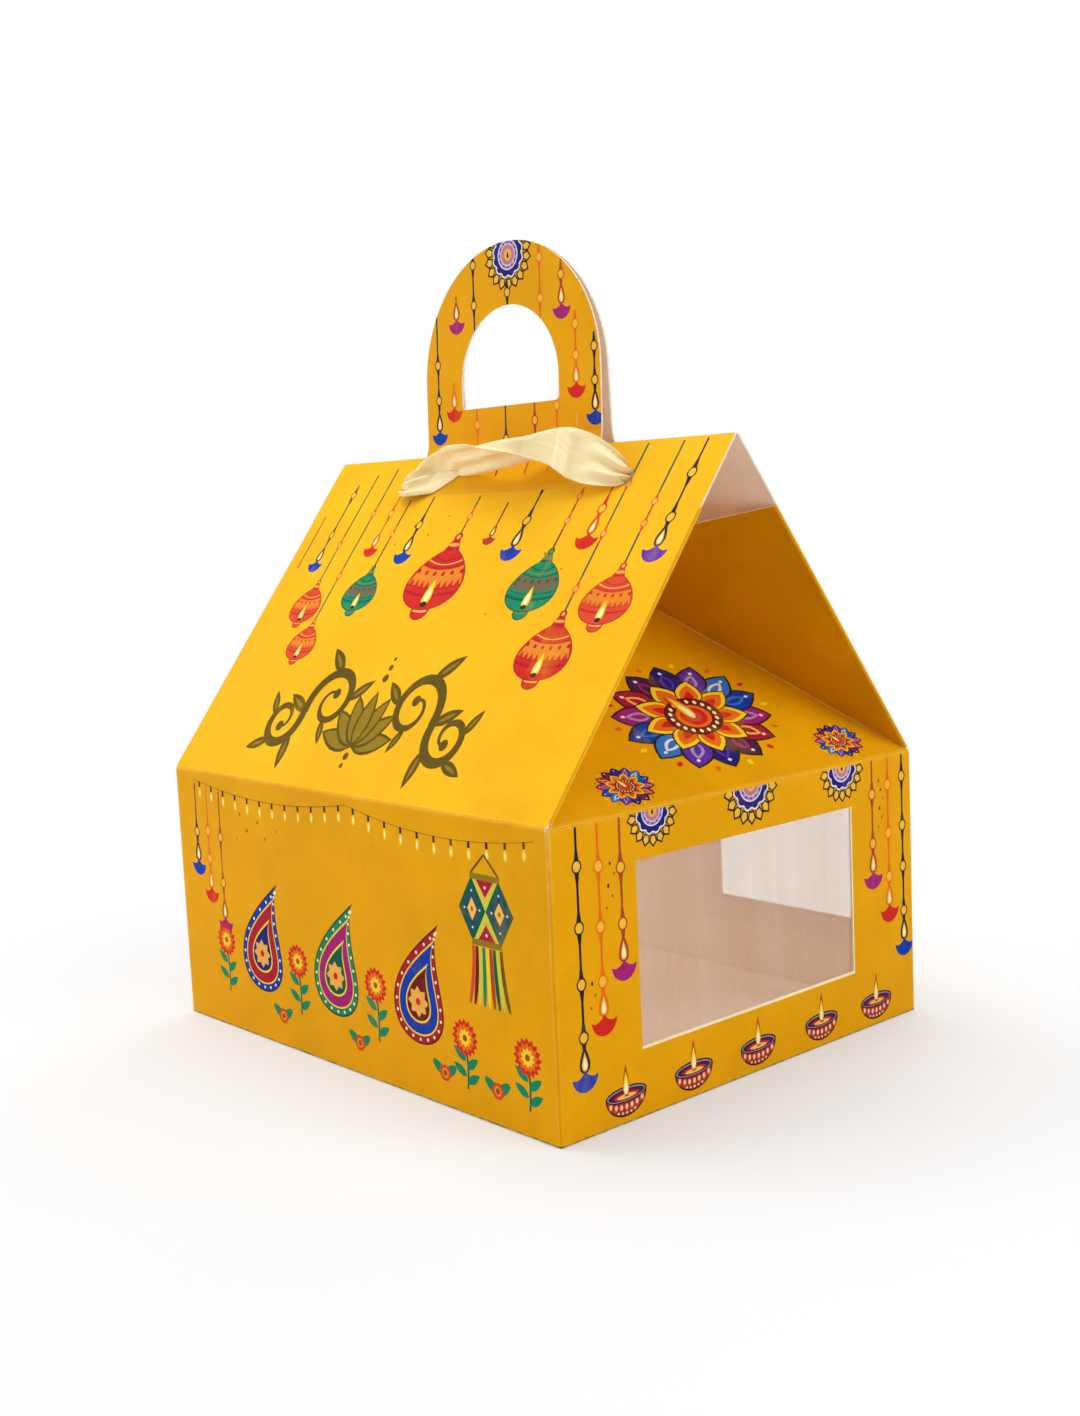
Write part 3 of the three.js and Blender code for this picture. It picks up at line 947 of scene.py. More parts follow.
@dataclass(frozen=True)
class Flourish:
    """Leafed scrolls to both sides of a lotus bud."""

    stroke: float = 2.0

    def shapes(self) -> Shapes:
        """The scrolls with their leaves, and the bud."""
        near, far = (15.5, 1.5), (31.0, -4.0)
        angle = math.atan2(far[1] - near[1], far[0] - near[0])
        line = self.curl(near, 9.0, angle, 1.35)[::-1] + self.curl(far, 7.2, angle + math.pi, 1.3)
        last = len(line) - 1
        widths = [0.55 + self.stroke * math.sin(math.pi * k / last) ** 1.2 for k in range(last + 1)]
        leaves = ((0.2, 60, 6.5), (0.3, 55, 8.5), (0.4, 50, 9.5), (0.5, 45, 9.0))
        leaves += ((0.56, -48, 9.0), (0.64, -52, 8.0), (0.73, -56, 7.0))
        for side in (-1, 1):
            for share, turn, length in leaves:
                place = round(share * last)
                (x, y), (nx, ny) = line[place], line[place + 1]
                heading = math.degrees(math.atan2(ny - y, nx - x)) - 90
                vein = petal(0.6 * length, 0.1 * length, 0.2 * length)
                for outline, ink in ((petal(length, 0.34 * length), Ink.BRONZE), (vein, Ink.OLIVE)):
                    yield self.handed(moved(outline, x, y, 1, 1, heading + turn), side, ink)
            ends = [ellipse(*end, 1.3, 1.3, 14) for end in (line[0], line[-1])]
            for outline in (band(line, widths), *ends):
                yield self.handed(outline, side, Ink.BRONZE)
        for turn in (-78, 78, -52, 52, -26, 26, 0):
            yield Shape(moved(petal(13.5, 5.2), 0, -8.5, 1, 1, turn), Ink.BRONZE)
            yield Shape(moved(petal(11.6, 3.7, 0.9), 0, -8.5, 1, 1, turn), Ink.OLIVE)
        for height, size in ((8.0, 1.0), (10.6, 0.75), (12.7, 0.5), (-10.6, 0.9), (-12.8, 0.6)):
            yield oval(Ink.BRONZE, 0, height, size, size, 12)

    @staticmethod
    def handed(outline: Outline, side: int, ink: Ink) -> Shape:
        """A printed outline on the right side of the bud, or mirrored to its left."""
        return Shape(moved(outline, 0, 0, side, 1, 0), ink)

    @staticmethod
    def curl(middle: Point, radius: float, start: float, turns: float) -> Outline:
        """A line that winds in to the left towards a middle.

        Args:
            middle: Where it winds to.
            radius: Its distance from there at first.
            start: The angle at which it starts.
            turns: How often it goes round.

        Returns:
            The line's points.
        """
        steps = 40
        points = []
        for step in range(steps + 1):
            share = step / steps
            angle = start + 2 * math.pi * turns * share
            reach = radius * (1 - 0.78 * share**0.85)
            points.append((middle[0] + reach * math.cos(angle), middle[1] + reach * math.sin(angle)))
        return points


class ShaderTree:
    """The nodes of a material or a world under construction, round its shader."""

    def __init__(self, made: bpy.types.Material | bpy.types.World) -> None:
        """Starts the nodes of a new material or world."""
        made.use_nodes = True
        self.made, self.tree = made, made.node_tree
        self.shader = self.tree.nodes.get("Principled BSDF") or self.tree.nodes["Background"]
        self.places = self.node("TexCoord").outputs["Object"]

    def node(self, kind: str, inputs: dict | None = None, **settings: object) -> bpy.types.ShaderNode:
        """Adds a node.

        Args:
            kind: Blender's name of its class, without its first words.
            inputs: Outputs to link or plain values, by the names or numbers of the node's sockets.
            settings: Values of its own properties.

        Returns:
            The node.
        """
        added = self.tree.nodes.new(f"ShaderNode{kind}")
        for name, value in settings.items():
            setattr(added, name, value)
        for name, value in (inputs or {}).items():
            self.put(value, added.inputs[name])
        return added

    def put(self, value: object, socket: Socket) -> None:
        """Links a value that is an output, and sets any other value on the socket."""
        if isinstance(value, Socket):
            self.tree.links.new(value, socket)
        else:
            socket.default_value = value

    def set(self, name: str, value: object) -> None:
        """Gives one of the shader's sockets a link or a plain value."""
        self.put(value, self.shader.inputs[name])

    def attribute(self, name: str, output: str) -> Socket:
        """An output of one of the mesh's attributes."""
        return self.node("Attribute", attribute_name=name).outputs[output]

    def noise(
        self,
        scale: float,
        detail: float,
        roughness: float,
        stretch: tuple = (1, 1, 1),
        places: Socket | None = None,
    ) -> Socket:
        """Adds noise.

        Args:
            scale: Its waves in a metre.
            detail: Its octaves.
            roughness: The weight of the finer ones.
            stretch: Scale along each axis.
            places: Other coordinates than the object's own.

        Returns:
            Its value.
        """
        spread = self.node("Mapping", {"Scale": stretch, "Vector": places or self.places}).outputs["Vector"]
        values = {"Vector": spread, "Scale": scale, "Detail": detail, "Roughness": roughness}
        return self.node("TexNoise", values).outputs["Fac"]

    def between(
        self, value: Socket, low: float, high: float, start: float, end: float, **settings: str
    ) -> Socket:
        """Spreads a value from the range low to high over the range start to end, and keeps it there."""
        values = {"Value": value, "From Min": low, "From Max": high, "To Min": start, "To Max": end}
        return self.node("MapRange", values, **settings).outputs["Result"]

    def maths(self, operation: str, first: object, second: object) -> Socket:
        """Joins two values by one operation."""
        return self.node("Math", {0: first, 1: second}, operation=operation).outputs[0]

    def mix(self, share: object, first: object, second: object) -> Socket:
        """Mixes two colours, with the given share of the second one."""
        return self.node("Mix", {0: share, 6: first, 7: second}, data_type="RGBA").outputs[2]

    def tint(self, base: object, brightness: Socket) -> Socket:
        """Makes a colour brighter or darker by a value about 1."""
        first = base if isinstance(base, Socket) else base[:3]
        return self.node("VectorMath", {0: first, "Scale": brightness}, operation="SCALE").outputs[0]

    def bump(self, height: Socket, strength: float, distance: float, below: Socket | None = None) -> Socket:
        """Bumps of a height in metres where the value is 1, on top of a bumped normal if there is one."""
        values = {"Strength": strength, "Distance": distance, "Height": height}
        return self.node("Bump", {**values, "Normal": below} if below else values).outputs["Normal"]


@dataclass(frozen=True)
class PrintedBoard:
    """Printed and varnished board: the ink under mottling, scuffs and worn folds."""

    name: str = "printed_board"
    worn: Colour = colour(255, 214, 112)
    scuffed: Colour = colour(205, 132, 6)
    light: Colour = colour(250, 188, 18)
    roughness: float = 0.46
    worn_reach: float = 0.2

    def shade(self, tree: ShaderTree) -> None:
        """Builds the finish as nodes."""
        mottling = tree.between(tree.noise(34, 4, 0.6), 0.32, 0.7, 0.92, 1.06)
        mottled = tree.tint(tree.attribute("Ink", "Color"), mottling)
        grained = tree.tint(mottled, tree.between(tree.noise(2600, 2, 0.5), 0.3, 0.7, 0.96, 1.035))
        patches = tree.between(tree.noise(58, 6, 0.72), 0.56, 0.78, 0.0, 0.24)
        scuffed = tree.mix(patches, grained, self.scuffed)
        strokes = tree.between(tree.noise(44, 5, 0.7, (1.6, 1.6, 0.6)), 0.56, 0.74, 0.0, 0.22)
        brushed = tree.mix(strokes, scuffed, self.light)
        near = tree.between(tree.attribute("Edge", "Fac"), 0.0, self.worn_reach, 1.0, 0.0)
        broken = tree.between(tree.noise(420, 5, 0.7), 0.36, 0.64, 0.1, 0.6)
        tree.set("Base Color", tree.mix(tree.maths("MULTIPLY", near, broken), brushed, self.worn))
        gloss = (self.roughness, self.roughness + 0.14)
        tree.set("Roughness", tree.between(tree.noise(160, 4, 0.6), 0.3, 0.7, *gloss))
        tree.set("Specular IOR Level", 0.04)
        fibres = tree.bump(tree.noise(1500, 3, 0.6), 0.1, 0.00006)
        tree.set("Normal", tree.bump(tree.noise(46, 3, 0.5), 0.3, 0.0006, fibres))


@dataclass(frozen=True)
class BareBoard:
    """The board's unprinted side: warm off-white pulp, with a faint warm glow painted on as emission, in
    place of light coming through it.
    """

    name: str = "bare_board"
    # Painted light: the colour and strength of the glow that the bare side gives off.
    through: Colour = colour(255, 192, 140)
    share: float = 0.088
    base: Colour = colour(238, 225, 210)
    dark: Colour = colour(229, 213, 196)

    def shade(self, tree: ShaderTree) -> None:
        """Builds the finish as nodes."""
        clouds = tree.between(tree.noise(60, 5, 0.65), 0.35, 0.68, 0.0, 0.8)
        flecks = tree.between(tree.noise(1100, 3, 0.6, (1, 1, 0.3)), 0.3, 0.7, 0.955, 1.03)
        tree.set("Base Color", tree.tint(tree.mix(clouds, self.base, self.dark), flecks))
        tree.set("Roughness", tree.between(tree.noise(300, 3, 0.6), 0.3, 0.7, 0.68, 0.86))
        tree.set("Specular IOR Level", 0.35)
        # Painted light: a faint warm emission on every bare face.
        tree.set("Emission Color", self.through)
        tree.set("Emission Strength", self.share)
        tree.set("Normal", tree.bump(tree.noise(1300, 4, 0.65), 0.2, 0.00008))


@dataclass(frozen=True)
class CutEdge:
    """The board's die-cut edge: pale layered pulp."""

    name: str = "cut_edge"
    base: Colour = colour(246, 238, 222)
    layer: Colour = colour(226, 206, 168)

    def shade(self, tree: ShaderTree) -> None:
        """Builds the finish as nodes."""
        layers = tree.between(tree.noise(900, 4, 0.7), 0.4, 0.66, 0.0, 0.75)
        tree.set("Base Color", tree.mix(layers, self.base, self.layer))
        tree.set("Roughness", 0.85)
        tree.set("Normal", tree.bump(tree.noise(2400, 3, 0.6), 0.3, 0.00005))


@dataclass(frozen=True)
class ClearFilm:
    """Thin clear film with faint waves and a breath of haze, clearest where it is glued."""

    name: str = "clear_film"
    base: Colour = colour(240, 214, 192)
    clearest: float = 0.15
    haziest: float = 0.25
    lap: float = 7.0
    glued: float = 0.1

    def shade(self, tree: ShaderTree) -> None:
        """Builds the finish as nodes."""
        waves = tree.between(tree.noise(30, 3, 0.5, (1, 1, 0.25)), 0.3, 0.7, 0.94, 1.02)
        tree.set("Base Color", tree.tint(self.base, waves))
        tree.set("Roughness", tree.between(tree.noise(120, 3, 0.5), 0.3, 0.7, 0.05, 0.12))
        streaks = tree.noise(70, 3, 0.6, (1, 1, 0.04))
        haze = tree.between(streaks, 0.35, 0.68, self.clearest, self.haziest)
        free = tree.between(tree.attribute("Edge", "Fac"), 0.75 * self.lap, self.lap, self.glued, 1.0)
        tree.set("Alpha", tree.maths("MULTIPLY", haze, free))
        tree.set("Specular IOR Level", 0.5)


@dataclass(frozen=True)
class Satin:
    """Woven satin: fine threads along the ribbon and a soft lengthwise gloss."""

    name: str = "satin"
    base: Colour = colour(255, 236, 180)
    dark: Colour = colour(244, 214, 150)

    def shade(self, tree: ShaderTree) -> None:
        """Builds the finish as nodes. The map named Weave gives millimetres across and along."""
        weave = tree.node("UVMap", uv_map="Weave").outputs["UV"]
        threads, picks = (
            tree.node(
                "TexWave",
                {"Vector": weave, "Scale": scale, "Distortion": distortion},
                wave_type="BANDS",
                bands_direction=way,
            ).outputs["Fac"]
            for way, scale, distortion in (("X", 1.6, 0.6), ("Y", 0.9, 1.5))
        )
        streaks = tree.noise(0.9, 4, 0.6, (1.2, 0.12, 1), weave)
        cloth = tree.mix(tree.between(streaks, 0.3, 0.72, 0.0, 0.75), self.base, self.dark)
        tree.set("Base Color", tree.tint(cloth, tree.between(threads, 0.0, 1.0, 0.96, 1.02)))
        tree.set("Roughness", tree.between(streaks, 0.3, 0.7, 0.32, 0.46))
        tree.set("Specular IOR Level", 0.55)
        tree.set("Anisotropic", 0.5)
        tree.set("Sheen Weight", 0.25)
        tree.set("Sheen Roughness", 0.4)
        tree.set("Normal", tree.bump(picks, 0.1, 0.00004, tree.bump(threads, 0.16, 0.00005)))


@dataclass(frozen=True)
class Finishes:
    """Every finish on the carton, made once."""

    printed: bpy.types.Material
    bare: bpy.types.Material
    edge: bpy.types.Material
    floor: bpy.types.Material
    film: bpy.types.Material
    satin: bpy.types.Material

    @staticmethod
    def made() -> "Finishes":
        """Makes the finishes.

        Returns:
            The finishes.
        """
        # A lighter copy of the bare board with a stronger glow, for the base flaps inside: painted light on
        # the inner floor.
        floor = BareBoard("lit_bare_floor", share=0.115, base=colour(246, 236, 224), dark=colour(238, 225, 211))
        materials = []
        for kind in (PrintedBoard(), BareBoard(), CutEdge(), floor, ClearFilm(), Satin()):
            tree = ShaderTree(bpy.data.materials.new(kind.name))
            kind.shade(tree)
            materials.append(tree.made)
        return Finishes(*materials)

    @property
    def board(self) -> list[bpy.types.Material]:
        """The finishes of a board's printed side, bare side and edge."""
        return [self.printed, self.bare, self.edge]


@dataclass
class MeshParts:
    """The parts of a mesh while it is gathered."""

    places: list[Vector] = field(default_factory=list)
    wear: list[float] = field(default_factory=list)
    faces: list[tuple[int, ...]] = field(default_factory=list)
    finishes: list[int] = field(default_factory=list)
    inks: list[Ink] = field(default_factory=list)
    maps: list[Point] = field(default_factory=list)

    def face(self, corners: tuple[int, ...], finish: int, ink: Ink, spots: list[Point]) -> None:
        """Adds a face with its finish, its ink and its corners' places on the map."""
        self.faces.append(corners)
        self.finishes.append(finish)
        self.inks.append(ink)
        self.maps += spots


def placed(name: str, data: bpy.types.ID) -> bpy.types.Object:
    """Puts an object with its mesh, lamp or camera into the scene.

    Args:
        name: Its name.
        data: What it holds.

    Returns:
        The object.
    """
    made = bpy.data.objects.new(name, data)
    bpy.context.scene.collection.objects.link(made)
    return made


@dataclass
class Panel:
    """A piece of board cut to an outline, printed on its outer face, in developed millimetres."""

    name: str
    lay: Lay
    outline: Outline
    finishes: list[bpy.types.Material]
    holes: list[Outline] = field(default_factory=list)
    shapes: list[Shape] = field(default_factory=list)
    folds: list[tuple[Point, Point]] = field(default_factory=list)
    rows: list[float] = field(default_factory=list)
    columns: list[float] = field(default_factory=list)
    thickness: float = SIZES.board
    bow: float = 0.0
    bow_reach: float = 28.0
    spacing: float = 7.0
    base: Ink = Ink.GOLD

    def build(self) -> bpy.types.Object:
        """Cuts, prints, folds and thickens the panel.

        Returns:
            The panel as an object with its finishes.
        """
        parts = MeshParts()
        points, triangles = self.cut([self.outline, *self.holes], self.shapes)
        loops = self.borders(triangles)
        front = self.lay_points(parts, points, 0.0)
        for corners, ink in triangles:
            spots = [self.front_map(points[c]) for c in corners]
            parts.face(tuple(front + c for c in corners), 0, ink, spots)
        back = self.close_back(parts, points, loops)
        self.close_edges(parts, points, loops, front, back)
        return self.made(parts)

    def cut(self, cutouts: list[Outline], shapes: list[Shape]) -> tuple[Outline, list[tuple[list[int], Ink]]]:
        """Cuts the face into triangles along its outlines and its print.

        Args:
            cutouts: The outer outline, then the holes.
            shapes: The print in painting order.

        Returns:
            The points, and each triangle's corners with its ink.
        """
        rings = cutouts + [s.outline for s in shapes]
        spots, faces, edges = [], [], []
        for ring in rings:
            faces.append(list(range(len(spots), len(spots) + len(ring))))
            spots += [Vector(p) for p in (ring if area(ring) > 0 else ring[::-1])]
        for line in self.guide_lines():
            edges.append((len(spots), len(spots) + 1))
            spots += [Vector(p) for p in line]
        spots += [Vector(p) for p in self.grid(cutouts)]
        found, _, corners, _, _, owners = delaunay_2d_cdt(spots, edges, faces, 0, 1e-6)
        holes = set(range(1, len(cutouts)))
        triangles = []
        for face, owner in zip(corners, owners):
            if 0 in owner and not holes.intersection(owner):
                top = max(owner)
                ink = shapes[top - len(cutouts)].ink if top >= len(cutouts) else self.base
                triangles.append((list(face), ink))
        used = sorted({corner for face, _ in triangles for corner in face})
        order = {corner: place for place, corner in enumerate(used)}
        kept = [([order[corner] for corner in face], ink) for face, ink in triangles]
        return [(found[corner].x, found[corner].y) for corner in used], kept

    @cached_property
    def box(self) -> tuple[float, float, float, float]:
        """The outline's left, lower, right and upper edge."""
        us, vs = zip(*self.outline)
        return min(us), min(vs), max(us), max(vs)

    def guide_lines(self) -> list[tuple[Point, Point]]:
        """The lines across the panel along which it bends."""
        left, low, right, high = self.box
        return [((left, v), (right, v)) for v in self.rows] + [((u, low), (u, high)) for u in self.columns]

    def grid(self, cutouts: list[Outline]) -> Outline:
        """Evenly spread points inside the panel, clear of its edges.

        Args:
            cutouts: The outer outline, then the holes.

        Returns:
            The points.
        """
        left, low, right, high = self.box
        gap = self.spacing
        points = []
        for row in range(1, int((high - low) / gap) + 1):
            for column in range(1, int((right - left) / gap) + 1):
                point = (left + (column - 0.5 * (row % 2)) * gap, low + row * gap)
                punched = any(inside(point, hole) for hole in cutouts[1:])
                within = inside(point, cutouts[0]) and not punched
                if within and all(self.rim_distance(point, ring) > 0.3 * gap for ring in cutouts):
                    points.append(point)
        return points

    @staticmethod
    def rim_distance(point: Point, ring: Outline) -> float:
        """The distance from a point to the nearest edge of an outline."""
        return min(away_from(point, a, b) for a, b in closed(ring))

    @staticmethod
    def borders(triangles: list[tuple[list[int], Ink]]) -> list[list[int]]:
        """Finds the face's borders.

        Args:
            triangles: The face's triangles.

        Returns:
            Each border's points in turn, with the face to their left.
        """
        edges = {(c[k], c[(k + 1) % 3]) for c, _ in triangles for k in range(3)}
        after = {a: b for a, b in edges if (b, a) not in edges}
        loops = []
        while after:
            start, here = after.popitem()
            loop = [start]
            while here != start:
                loop.append(here)
                here = after.pop(here)
            loops.append(loop)
        return loops

    def lay_points(self, parts: MeshParts, points: Outline, depth: float) -> int:
        """Lays points of one face in space.

        Args:
            parts: Where they go.
            points: The points in the panel's own frame.
            depth: The face's depth in the board.

        Returns:
            The number of the first one.
        """
        first = len(parts.places)
        for point in points:
            bulge = 0.0
            if self.bow:
                share = min(1.0, self.rim_distance(point, self.outline) / self.bow_reach)
                bulge = self.bow * share * share * (3 - 2 * share)
            parts.places.append(self.lay.point(*point, depth - bulge))
            parts.wear.append(min((away_from(point, *fold) for fold in self.folds), default=9.0))
        return first

    def close_back(self, parts: MeshParts, points: Outline, loops: list[list[int]]) -> dict[int, int]:
        """Adds the unprinted face within the same borders.

        Args:
            parts: Where it goes.
            points: The printed face's points.
            loops: Its borders.

        Returns:
            The new point behind each point of the borders.
        """
        rings = sorted(([points[p] for p in loop] for loop in loops), key=lambda ring: -abs(area(ring)))
        found, triangles = self.cut(rings, [])
        first = self.lay_points(parts, found, self.thickness)
        for corners, ink in triangles:
            spots = [self.back_map(found[c]) for c in reversed(corners)]
            parts.face(tuple(first + c for c in reversed(corners)), 1, ink, spots)
        nearest = {(round(x, 4), round(y, 4)): first + place for place, (x, y) in enumerate(found)}
        border = [p for loop in loops for p in loop]
        return {p: nearest[(round(points[p][0], 4), round(points[p][1], 4))] for p in border}

    def close_edges(
        self, parts: MeshParts, points: Outline, loops: list[list[int]], front: int, back: dict[int, int]
    ) -> None:
        """Adds the board's cut edges between its faces.

        Args:
            parts: Where they go.
            points: The printed face's points.
            loops: Its borders.
            front: The number of its first point.
            back: The point behind each point of the borders.
        """
        pairs = [pair for loop in loops for pair in closed(loop)]
        around = sum(math.dist(points[a], points[b]) for a, b in pairs)
        start, low, high = 0.0, 0.93, 0.97
        for a, b in pairs:
            end = start + math.dist(points[a], points[b]) / around
            spots = [(start, high), (start, low), (end, low), (end, high)]
            parts.face((front + a, back[a], back[b], front + b), 2, self.base, spots)
            start = end

    def front_map(self, point: Point) -> Point:
        """A printed point's place on the map that finishes are baked to.

        Args:
            point: The point.

        Returns:
            Its place.
        """
        left, low, right, high = self.box
        size = max(right - left, (high - low) / 0.62)
        return ((point[0] - left) / size, (point[1] - low) / size)

    def back_map(self, point: Point) -> Point:
        """An unprinted point's place on that map, above the printed ones."""
        across, up = self.front_map(point)
        return (0.4 * across, 0.64 + 0.4 * up)

    def made(self, parts: MeshParts) -> bpy.types.Object:
        """Makes the object from its gathered parts.

        Args:
            parts: The parts.

        Returns:
            The object.
        """
        mesh = bpy.data.meshes.new(self.name)
        mesh.from_pydata(parts.places, [], parts.faces)
        for finish in self.finishes:
            mesh.materials.append(finish)
        mesh.polygons.foreach_set("material_index", parts.finishes)
        mesh.attributes.new("Edge", "FLOAT", "POINT").data.foreach_set("value", parts.wear)
        shades = [share for f, i in zip(parts.faces, parts.inks) for share in i.linear * len(f)]
        mesh.color_attributes.new("Ink", "FLOAT_COLOR", "CORNER").data.foreach_set("color", shades)
        bake = mesh.uv_layers.new(name="OFBake")
        bake.data.foreach_set("uv", [x for spot in parts.maps for x in spot])
        mesh.update()
        mesh.validate()
        mesh.shade_smooth()
        mesh.set_sharp_from_angle(angle=math.radians(32))
        return placed(self.name, mesh)


def settle(made: bpy.types.Object, body: str, node: str) -> None:
    """Sets a finished piece on its body in place of its solid.

    Args:
        made: The piece.
        body: The body that carries it.
        node: The solid that it stands for.
    """
    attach(made, body)
    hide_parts(node)
    LOG.info("%s rides on %s, with %d faces", made.name, body, len(made.data.polygons))


@dataclass
class FoldStrip:
    """The rounded strip of board along a fold, from left to right of the fold's own frame."""

    name: str
    lay: Lay
    left: float
    right: float
    columns: int
    rows: int = 8
    thickness: float = SIZES.board

    def build(self, finishes: Finishes, fixed: str, moving: str, tip: Vector | None = None) -> None:
        """Builds the strip and bakes its place into its mesh; the two bodies are only named in the log.

        Args:
            finishes: The carton's finishes.
            fixed: The body before the fold.
            moving: The body after it.
            tip: Where the fold ends, if not at the end of the strip.
        """
        left, right, length = self.left, self.right, self.lay.bends[0].length
        made = Panel(
            name=self.name,
            lay=self.lay,
            outline=rectangle(left, 0.0, right, length),
            finishes=finishes.board,
            folds=[((left, length / 2), (right, length / 2))],
            rows=steps_between(0.0, length, self.rows),
            columns=steps_between(left, right, self.columns),
            thickness=self.thickness,
        ).build()
        end = self.lay.point(0, length) if tip is None else tip
        self.lay.point(0, 0)
        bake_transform(made)
        LOG.info("%s bends between %s and %s", made.name, fixed, moving)

    @staticmethod
    def over_wall(side: Side, word: str, columns: int) -> "FoldStrip":
        """The fold between a wall and the slope or flap above it.

        Args:
            side: The wall's side.
            word: What is above it, for the strip's name.
            columns: Cuts along the strip.

        Returns:
            The strip.
        """
        bend = Bend(0.0, SIZES.fold_radius * side.lean, side.lean)
        lay = side.wall_lay(0.0, SIZES.wall_height - SIZES.fold_reach(side.lean), bend)
        return FoldStrip(f"{side.label}_{word}_fold", lay, -side.half, side.half, columns)


@dataclass
class Walls:
    """The ring of four walls with its seam, and the base flaps."""

    finishes: Finishes
    stand: float = 0.05
    short_flap: float = 46.0
    short_taper: float = 9.0
    long_flap: float = 78.0
    long_taper: float = 4.0
    seam_width: float = 14.0
    seam_taper: float = 6.0
    base_fold: float = 0.5

    def build(self) -> None:
        """Builds and settles the walls, the base and the seam."""
        for side in Side:
            settle(self.wall(side), "carton", f"wall_{side.label}")
            settle(self.base_flap(side), "carton", f"base_flap_{side.label}")
        settle(self.seam(), "carton", "glue_seam")

    def foot(self, side: Side) -> float:
        """The height at which a base flap turns in behind its wall, by its layer from the floor up."""
        return {Side.BACK: 0, Side.FRONT: 1}.get(side, 2) * SIZES.board + self.base_fold

    def wall(self, side: Side) -> bpy.types.Object:
        """Builds a wall. The long ones take the corners round with them.

        Args:
            side: The wall's side.

        Returns:
            The wall.
        """
        half, far, bends, corners = side.half, side.half, (), []
        if side.long:
            far = half + SIZES.corner_radius * math.pi / 2
            bends = (Bend(half, SIZES.corner_radius * math.pi / 2, math.pi / 2),)
            corners = [half, *steps_between(half, far, 6)]
        top = SIZES.wall_height - SIZES.fold_reach(side.lean)
        lines = [((s * half, self.stand), (s * half, top)) for s in (-1, 1)]
        return Panel(
            name=f"{side.label}_wall_board",
            lay=side.wall_lay(0.0, 0.0, *bends, wraps=side.long),
            outline=rectangle(-far, self.stand, far, top),
            finishes=self.finishes.board,
            holes=Windows.holes(side),
            shapes=list(self.long_print(side) if side.long else self.end_print()),
            folds=[*lines, ((-far, top), (far, top))],
            columns=[s * u for s in (-1, 1) for u in corners],
            bow=0.35 if side.long else 0.0,
        ).build()

    @staticmethod
    def long_print(side: Side) -> Shapes:
        """The long walls' print: a thin dark strip along the foot that is painted shade, lights along the
        eave, bead strings, paisleys and a paper lantern.

        Args:
            side: The wall's side. The back wall's print leaves room for its window.

        Yields:
            The shapes.
        """
        front = side is Side.FRONT
        room = -80.0 if front else 8.0
        # Painted shade: a thin dark strip where the wall meets the floor.
        yield Shape(rectangle(-80.0, 0.0, 80.0, 0.4), Ink.BRONZE)
        yield from LightString((-66.5, 66.6), (3.9, 66.8), 3.0, 12).shapes()
        yield from LightString((3.9, 66.8), (71.5, 66.0), 3.2, 11).shapes()
        strings = (
            (-66.3, 65.5, 42.5, (52.2,), Ink.INDIGO, Ink.BLUE),
            (-60.4, 65.0, 35.6, (53.0, 45.4), Ink.ORANGE, Ink.RED),
            (-54.2, 64.4, 28.2, (52.0, 39.6), Ink.CLAY, Ink.MAGENTA),
        )
        for string in strings if front else ():
            yield from BeadString(*string, size=1.1).shapes()
        frieze = [
            (Paisley(Ink.BLUE, Ink.CRIMSON, Ink.NAVY), -37.0, 28.0),
            (Paisley(Ink.GREEN, Ink.MAGENTA, Ink.PINE), -4.0, 28.0),
            (Paisley(Ink.CRIMSON, Ink.BLUE, Ink.MAROON), 29.0, 28.0),
        ]
        frieze += [(Marigold(), x, 24.0) for x in (-54.5, -20.5, 12.5)]
        frieze += [(Marigold(stem=12.0), x, 18.0) for x in (45.5, 66.5)]
        frieze += [(Marigold(stem=0.6, radius=2.2), x, 8.0) for x in (-29.0, 4.5, 37.5, 56.0)]
        for motif, x, y in [*frieze, (PaperLantern(), 55.0, 48.5)]:
            if x > room:
                yield from stamped(motif, x, y)
        if front:
            yield from specks(-46.0, 52.0, 22.0, 8.0, 6)

    @staticmethod
    def end_print() -> Shapes:
        """The end walls' print: a thin dark strip along the foot that is painted shade, half rosettes over
        the window, bead strings, and a row of clay lamps.
        """
        # Painted shade: a thin dark strip where the wall meets the floor.
        yield Shape(rectangle(-80.0, 0.0, 80.0, 0.4), Ink.BRONZE)
        yield Shape(rectangle(-38.0, 15.4, 38.0, 16.1), Ink.PALE)
        yield Shape(rectangle(37.9, 15.4, 38.4, 58.0), Ink.PALE)
        for x, y, radius in ((-32.2, 68.2, 8.2), (0.9, 69.2, 9.8), (35.0, 68.4, 8.8)):
            yield from stamped(LaceRosette(radius), x, y)
        strings = (
            (-55.6, 12.8, (59.8, 46.5, 34.1, 22.4), Ink.INDIGO, Ink.BLUE),
            (-49.3, 23.8, (58.8, 45.5, 33.4), Ink.ORANGE, Ink.RED),
            (-42.6, 34.6, (57.4, 44.9), Ink.CLAY, Ink.MAGENTA),
            (46.9, 37.9, (59.8, 47.2), Ink.CLAY, Ink.MAGENTA),
            (53.4, 28.1, (61.4, 48.9, 37.5), Ink.ORANGE, Ink.RED),
            (59.4, 18.0, (62.8, 50.0, 39.2, 27.5), Ink.INDIGO, Ink.BLUE),
        )
        for x, *rest in strings:
            yield from BeadString(x, 68.4, *rest, 0.7, 1.18).shapes()
        for x in (-43.6, -21.7, 0.8, 24.7, 46.9):
            yield from stamped(ClayLamp(), x, 5.2)
        for strewn in ((-47.2, 48.0, 3.0, 12.0, 5), (49.4, 50.0, 2.4, 14.0, 6), (-53.0, 27.0, 2.2, 8.0, 3)):
            yield from specks(*strewn)

